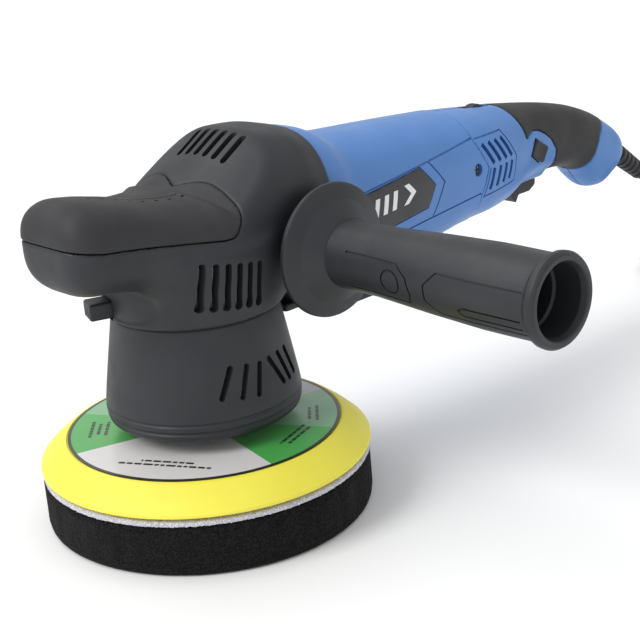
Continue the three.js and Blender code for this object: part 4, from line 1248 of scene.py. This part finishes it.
def rear_handle():
    outline = [(168.4, 141.6), (192.6, 141.2), (202.4, 125.6), (199.2, 112.8), (171.4, 110.9), (176.4, 125.4)]
    for side, word in ((-1, "left"), (1, "right")):
        obj = handle_half(side)
        tools = chevron_slots(side)
        tools.append(block("trigger_slot", (214, -7, 70), (243, 7, 110.5)))
        tools.append(block("dial_slot", (188.6, -3.1, 134), (209.4, 3.1, 170)))
        if side < 0:
            tools.append(block("button_hole", (220.7, -60, 116.9), (233.3, -8, 127.5), (0, BUTTON_TURN, 0)))
        cut(obj, tools)
        hole = turned("cable_hole", [(0, -14), (5.8, -14), (5.8, 40), (0, 40)], 40)
        hole.data.transform(boot_place)
        boolean(obj, hole)
        if side > 0:
            for x, z in HANDLE_SCREWS:
                boolean(obj, screw_hole(x, z))
        grooves = side_grooves(handle_skin, [(outline, True)], 0.8, 0.7, (160, -36, 78), (210, 36, 158))
        for number, tool in enumerate(grooves):
            if (number == 0) == (side < 0):
                boolean(obj, tool)
            else:
                remove(tool)
        finish_piece(crisp(obj, 40), "blue", "housing", f"rear_handle_{word}")


def overmold(side):
    word = "left" if side < 0 else "right"

    def field(x, y, z):
        body = handle_outer(x, y, z)
        pad = smooth_max(body - 0.25, overmold_region(x, z), 1.0)
        pad = np.maximum(pad, -(body + OVERMOLD_SKIN))
        return smooth_max(pad, 0.1 - side * y, 0.5)
    low, high = ((208, -28, 86), (312, 2, 158)) if side < 0 else ((208, -2, 86), (312, 28, 158))
    obj = meshed(f"grip_cover_{word}", field, low, high, 0.85)
    if side > 0:
        cut(obj, [screw_hole(*HANDLE_SCREWS[1])])
    finish_piece(crisp(obj, 50), "soft", "housing", f"grip_overmold_{word}")


rear_handle()
overmold(-1)
overmold(1)


# ------------------------------------------------------------------ controls
def trigger_piece():
    outline = filleted([
        (215.2, 104.5), (215.2, 97, 1), (221.4, 95.6, 1.5), (224.6, 91.8, 0.4), (227.2, 95.8, 1.5),
        (236.5, 95.8, 3), (241.7, 98.6, 2.5), (241.7, 104.5, 0), (215.2, 104.5),
    ], 5)[:-1]
    obj = prism("trigger_paddle", outline, -6.4, 6.4)
    softened(obj, 1.0, 3)
    finish_piece(crisp(baked(obj), 35), "black", "trigger", "trigger")


def lock_button_piece():
    turn = math.radians(BUTTON_TURN)

    def field(x, y, z):
        u = (x - BUTTON_X) * math.cos(turn) - (z - BUTTON_Z) * math.sin(turn)
        v = (x - BUTTON_X) * math.sin(turn) + (z - BUTTON_Z) * math.cos(turn)
        cap = box_field(u, y, v, (0, -17.8, 0), (5.8, 5.5, 4.8), 1.5)
        dish = np.sqrt(u ** 2 + (y + 47.2) ** 2 + v ** 2) - 24.6
        cap = smooth_max(cap, -dish, 0.8)
        return np.minimum(cap, box_field(u, y, v, (0, -12.8, 0), (6.7, 0.7, 5.9), 0.4))
    obj = meshed("lock_button_cap", field, (216, -25, 111), (238, -11, 134), 0.45)
    finish_piece(crisp(obj, 50), "black", "lock_button", "lock_button")


def speed_dial_piece():
    teeth = 36
    outline = []
    for i in range(teeth * 4):
        radius = DIAL_RADIUS - 0.55 * (0.5 + 0.5 * math.cos(2 * math.pi * i / 4)) ** 2
        a = 2 * math.pi * i / (teeth * 4)
        outline.append((DIAL_X + radius * math.cos(a), DIAL_Z + radius * math.sin(a)))
    obj = prism("speed_wheel", outline, -2.6, 2.6)
    softened(obj, 0.3, 2, 50)
    finish_piece(crisp(baked(obj), 35), "black", "speed_dial", "speed_dial")


def spindle_lock_piece():
    def field(x, y, z):
        cap = box_field(x, y, z, (44.4, 0, LOCK_Z), (5.8, 5.8, 4.0), 1.2)
        for rib in (-3, 0, 3):
            cap = smooth_max(cap, -box_field(x, y, z, (50.6, rib, LOCK_Z), (0.9, 0.55, 2.8), 0.3), 0.4)
        pin = np.maximum(np.hypot(y, z - LOCK_Z) - 3, np.maximum(17.3 - x, x - 41))
        return np.minimum(cap, pin)
    obj = meshed("spindle_lock_cap", field, (16, -7, 98), (52, 7, 109), 0.5)
    obj.data.transform(Matrix.Rotation(LOCK_ANGLE, 4, "Z"))
    finish_piece(crisp(obj, 50), "black", "spindle_lock", "spindle_lock")


trigger_piece()
lock_button_piece()
speed_dial_piece()
spindle_lock_piece()


# ------------------------------------------------------------------ side handle
GRIP_END = -178.0
# The grip's profile from the hollow of its far end to the flange: radius, distance from that end, fillet.
GRIP_PROFILE = [
    (0, 42), (12.3, 42, 1), (12.5, 27, 0.5), (13.4, 26.4, 0.4), (13.6, 16, 0.5), (14.8, 15.2, 0.5),
    (15.2, 3, 1), (16.4, 0, 1.2), (19.0, 0, 1.3), (20.1, 1.8, 1.2), (19.9, 4.4, 1.2), (18.1, 6.2, 1.6),
    (18.25, 20, 10), (18.3, 34, 20), (17.3, 62, 30), (15.6, 95, 20), (15.5, 118, 0), (16.2, 118.4, 0.3),
    (23.8, 124.6, 0.8), (30.0, 127.6, 0.6), (30.8, 128.2, 0.5), (30.9, 130.0, 0.5), (30.2, 130.7, 0.5),
    (20, 131.4, 2), (13, 134.2, 1), (4.3, 134.2, 0), (4.3, 118, 0), (0, 118),
]


def grip_radius(distance):
    """Radius of the side handle's grip at a distance from its far end."""
    return curve_through([6, 30, 60, 96, 108], [17.9, 18.3, 17.4, 15.6, 15.4])(np.array(float(distance)))


def side_handle():
    profile = [(corner[0], GRIP_END + corner[1], *corner[2:]) for corner in GRIP_PROFILE]
    obj = turned("side_handle_grip", filleted(profile, 6), 160, axis="y")
    for tool in grip_grooves(0) + grip_grooves(180):
        boolean(obj, tool)
    obj.data.transform(shift(SIDE_HANDLE_X, 0, SIDE_HANDLE_Z))
    finish_piece(crisp(obj, 40), "handle", "housing", "side_handle")


def grip_grooves(turn):
    """Engraved outlines on one flank of the grip: distances from the far end against arc height."""
    near = [(106, 8.5), (75, 8.5), (69, 3.6), (67.2, -3.2), (69, -8.5), (106, -8.5)]
    far = [(7, 8.8), (52, 8.8), (58.6, 2.5), (58.6, -4.2), (52, -10.5), (7, -10.5)]
    ring = [(78.5 + 5.2 * math.cos(a), 5.2 * math.sin(a)) for a in np.linspace(0, 2 * math.pi, 25)[:-1]]
    pill = [(8, -3.4), (38, -3.4), (40.4, -5.4), (38, -7.4), (8, -7.4)]
    tools = []
    for path, closed in ((near, False), (far, False), (ring, True), (pill, False)):
        points, faces = [], []
        outline = resampled(path, closed)
        count = len(outline)
        for i, (distance, height) in enumerate(outline):
            before = outline[i - 1] if i or closed else outline[i]
            after = outline[(i + 1) % count] if i < count - 1 or closed else outline[i]
            along = np.array([after[0] - before[0], after[1] - before[1]], float)
            along /= np.linalg.norm(along)
            for side in (-0.42, 0.42):
                d, h = distance - along[1] * side, height + along[0] * side
                radius = float(grip_radius(max(6.5, min(d, 107))))
                angle = h / radius
                for r in (radius - 0.65, radius + 2.5):
                    points.append((-r * math.cos(angle), GRIP_END + d, r * math.sin(angle)))
        for i in range(count if closed else count - 1):
            a, b = 4 * i, 4 * ((i + 1) % count)
            for p, q in ((0, 1), (1, 3), (3, 2), (2, 0)):
                faces.append([a + p, b + p, b + q, a + q])
        if not closed:
            faces.append([0, 1, 3, 2])
            last = 4 * (count - 1)
            faces.append([last + 2, last + 3, last + 1, last])
        tool = mesh_of("groove", points, faces, smooth=False)
        tool.data.transform(Matrix.Rotation(math.radians(turn - 6), 4, "Y"))
        outward(tool)
        tools.append(tool)
    return tools


def resampled(path, closed, spacing=1.5):
    points = []
    pairs = list(zip(path, path[1:])) + ([(path[-1], path[0])] if closed else [])
    for a, b in pairs:
        steps = max(1, int(math.dist(a, b) / spacing))
        points += [(a[0] + (b[0] - a[0]) * i / steps, a[1] + (b[1] - a[1]) * i / steps) for i in range(steps)]
    return points if closed else points + [path[-1]]


def outward(obj):
    """Turns a closed mesh's faces to point out."""
    work = bmesh.new()
    work.from_mesh(obj.data)
    bmesh.ops.recalc_face_normals(work, faces=work.faces)
    if work.calc_volume(signed=True) < 0:
        bmesh.ops.reverse_faces(work, faces=work.faces)
    work.to_mesh(obj.data)
    work.free()


side_handle()

# ------------------------------------------------------------------ carried-over CAD nodes
CARRIED = {
    "hook": ["hook_face"],
    "steel": ["output_spindle", "orbit_bearing", "spindle_shaft", "bevel_pinion", "armature_shaft",
              "spindle_bearing_lower", "spindle_bearing_upper", "armature_bearing_front",
              "armature_bearing_rear", "side_handle_stud"],
    "dark_steel": ["plate_hub", "counterweight", "bevel_gear", "armature_core", "stator",
                   "handle_screw_front", "handle_screw_middle", "handle_screw_rear"],
    "aluminium": ["gear_case", "bearing_plate"],
    "copper": ["armature_windings", "commutator", "field_coil_upper", "field_coil_lower"],
    "brass": ["brush_holder_left", "brush_holder_right"],
    "carbon": ["carbon_brush_left", "carbon_brush_right"],
    "nylon": ["cooling_fan", "speed_controller", "cable_clamp"],
    "black": ["switch_module"],
    "rubber": ["dust_seal"],
}
for look, names in CARRIED.items():
    for name in names:
        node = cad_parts[name]
        node.data.materials.clear()
        node.data.materials.append(looks[look])


# ------------------------------------------------------------------ stage and light
def stage_material():
    n = Nodes("floor_paper", (0.93, 0.93, 0.93), 0.8)
    n.color(n.mix(n.noise(3, 2), (0.92, 0.92, 0.92), (0.94, 0.94, 0.94)))
    return n.material


def make_stage():
    size, level = 6000, -0.05
    corners = [(-size, -size, level), (size, -size, level), (size, size, level), (-size, size, level)]
    floor = mesh_of("floor", corners, [[0, 1, 2, 3]])
    floor.data.materials.append(stage_material())


def area_light(name, place, target, size, power):
    data = bpy.data.lights.new(name, "AREA")
    data.shape = "RECTANGLE"
    data.size, data.size_y = size
    data.energy = power
    light = new_object(name, data)
    light.location = Vector(place)
    light.rotation_euler = (Vector(target) - Vector(place)).to_track_quat("-Z", "Y").to_euler()


def sun_light(name, toward, width, strength):
    """A distant light from a direction, as wide as a softbox in degrees."""
    data = bpy.data.lights.new(name, "SUN")
    data.angle = math.radians(width)
    data.energy = strength
    light = new_object(name, data)
    light.rotation_euler = (-Vector(toward)).to_track_quat("-Z", "Y").to_euler()


def make_lights():
    world = bpy.data.worlds.new("studio")
    WORLD.world = world
    world.use_nodes = True
    background = world.node_tree.nodes["Background"]
    background.inputs["Color"].default_value = (1.0, 1.0, 1.0, 1)
    background.inputs["Strength"].default_value = 0.78
    sun_light("window", (-0.85, 0.25, 0.8), 28, 1.5)
    area_light("top", (-0.2, 0.7, 1.5), (0.1, 0, 0.1), (1.0, 0.6), 5)


make_stage()
make_lights()
WORLD.view_settings.view_transform = "Standard"
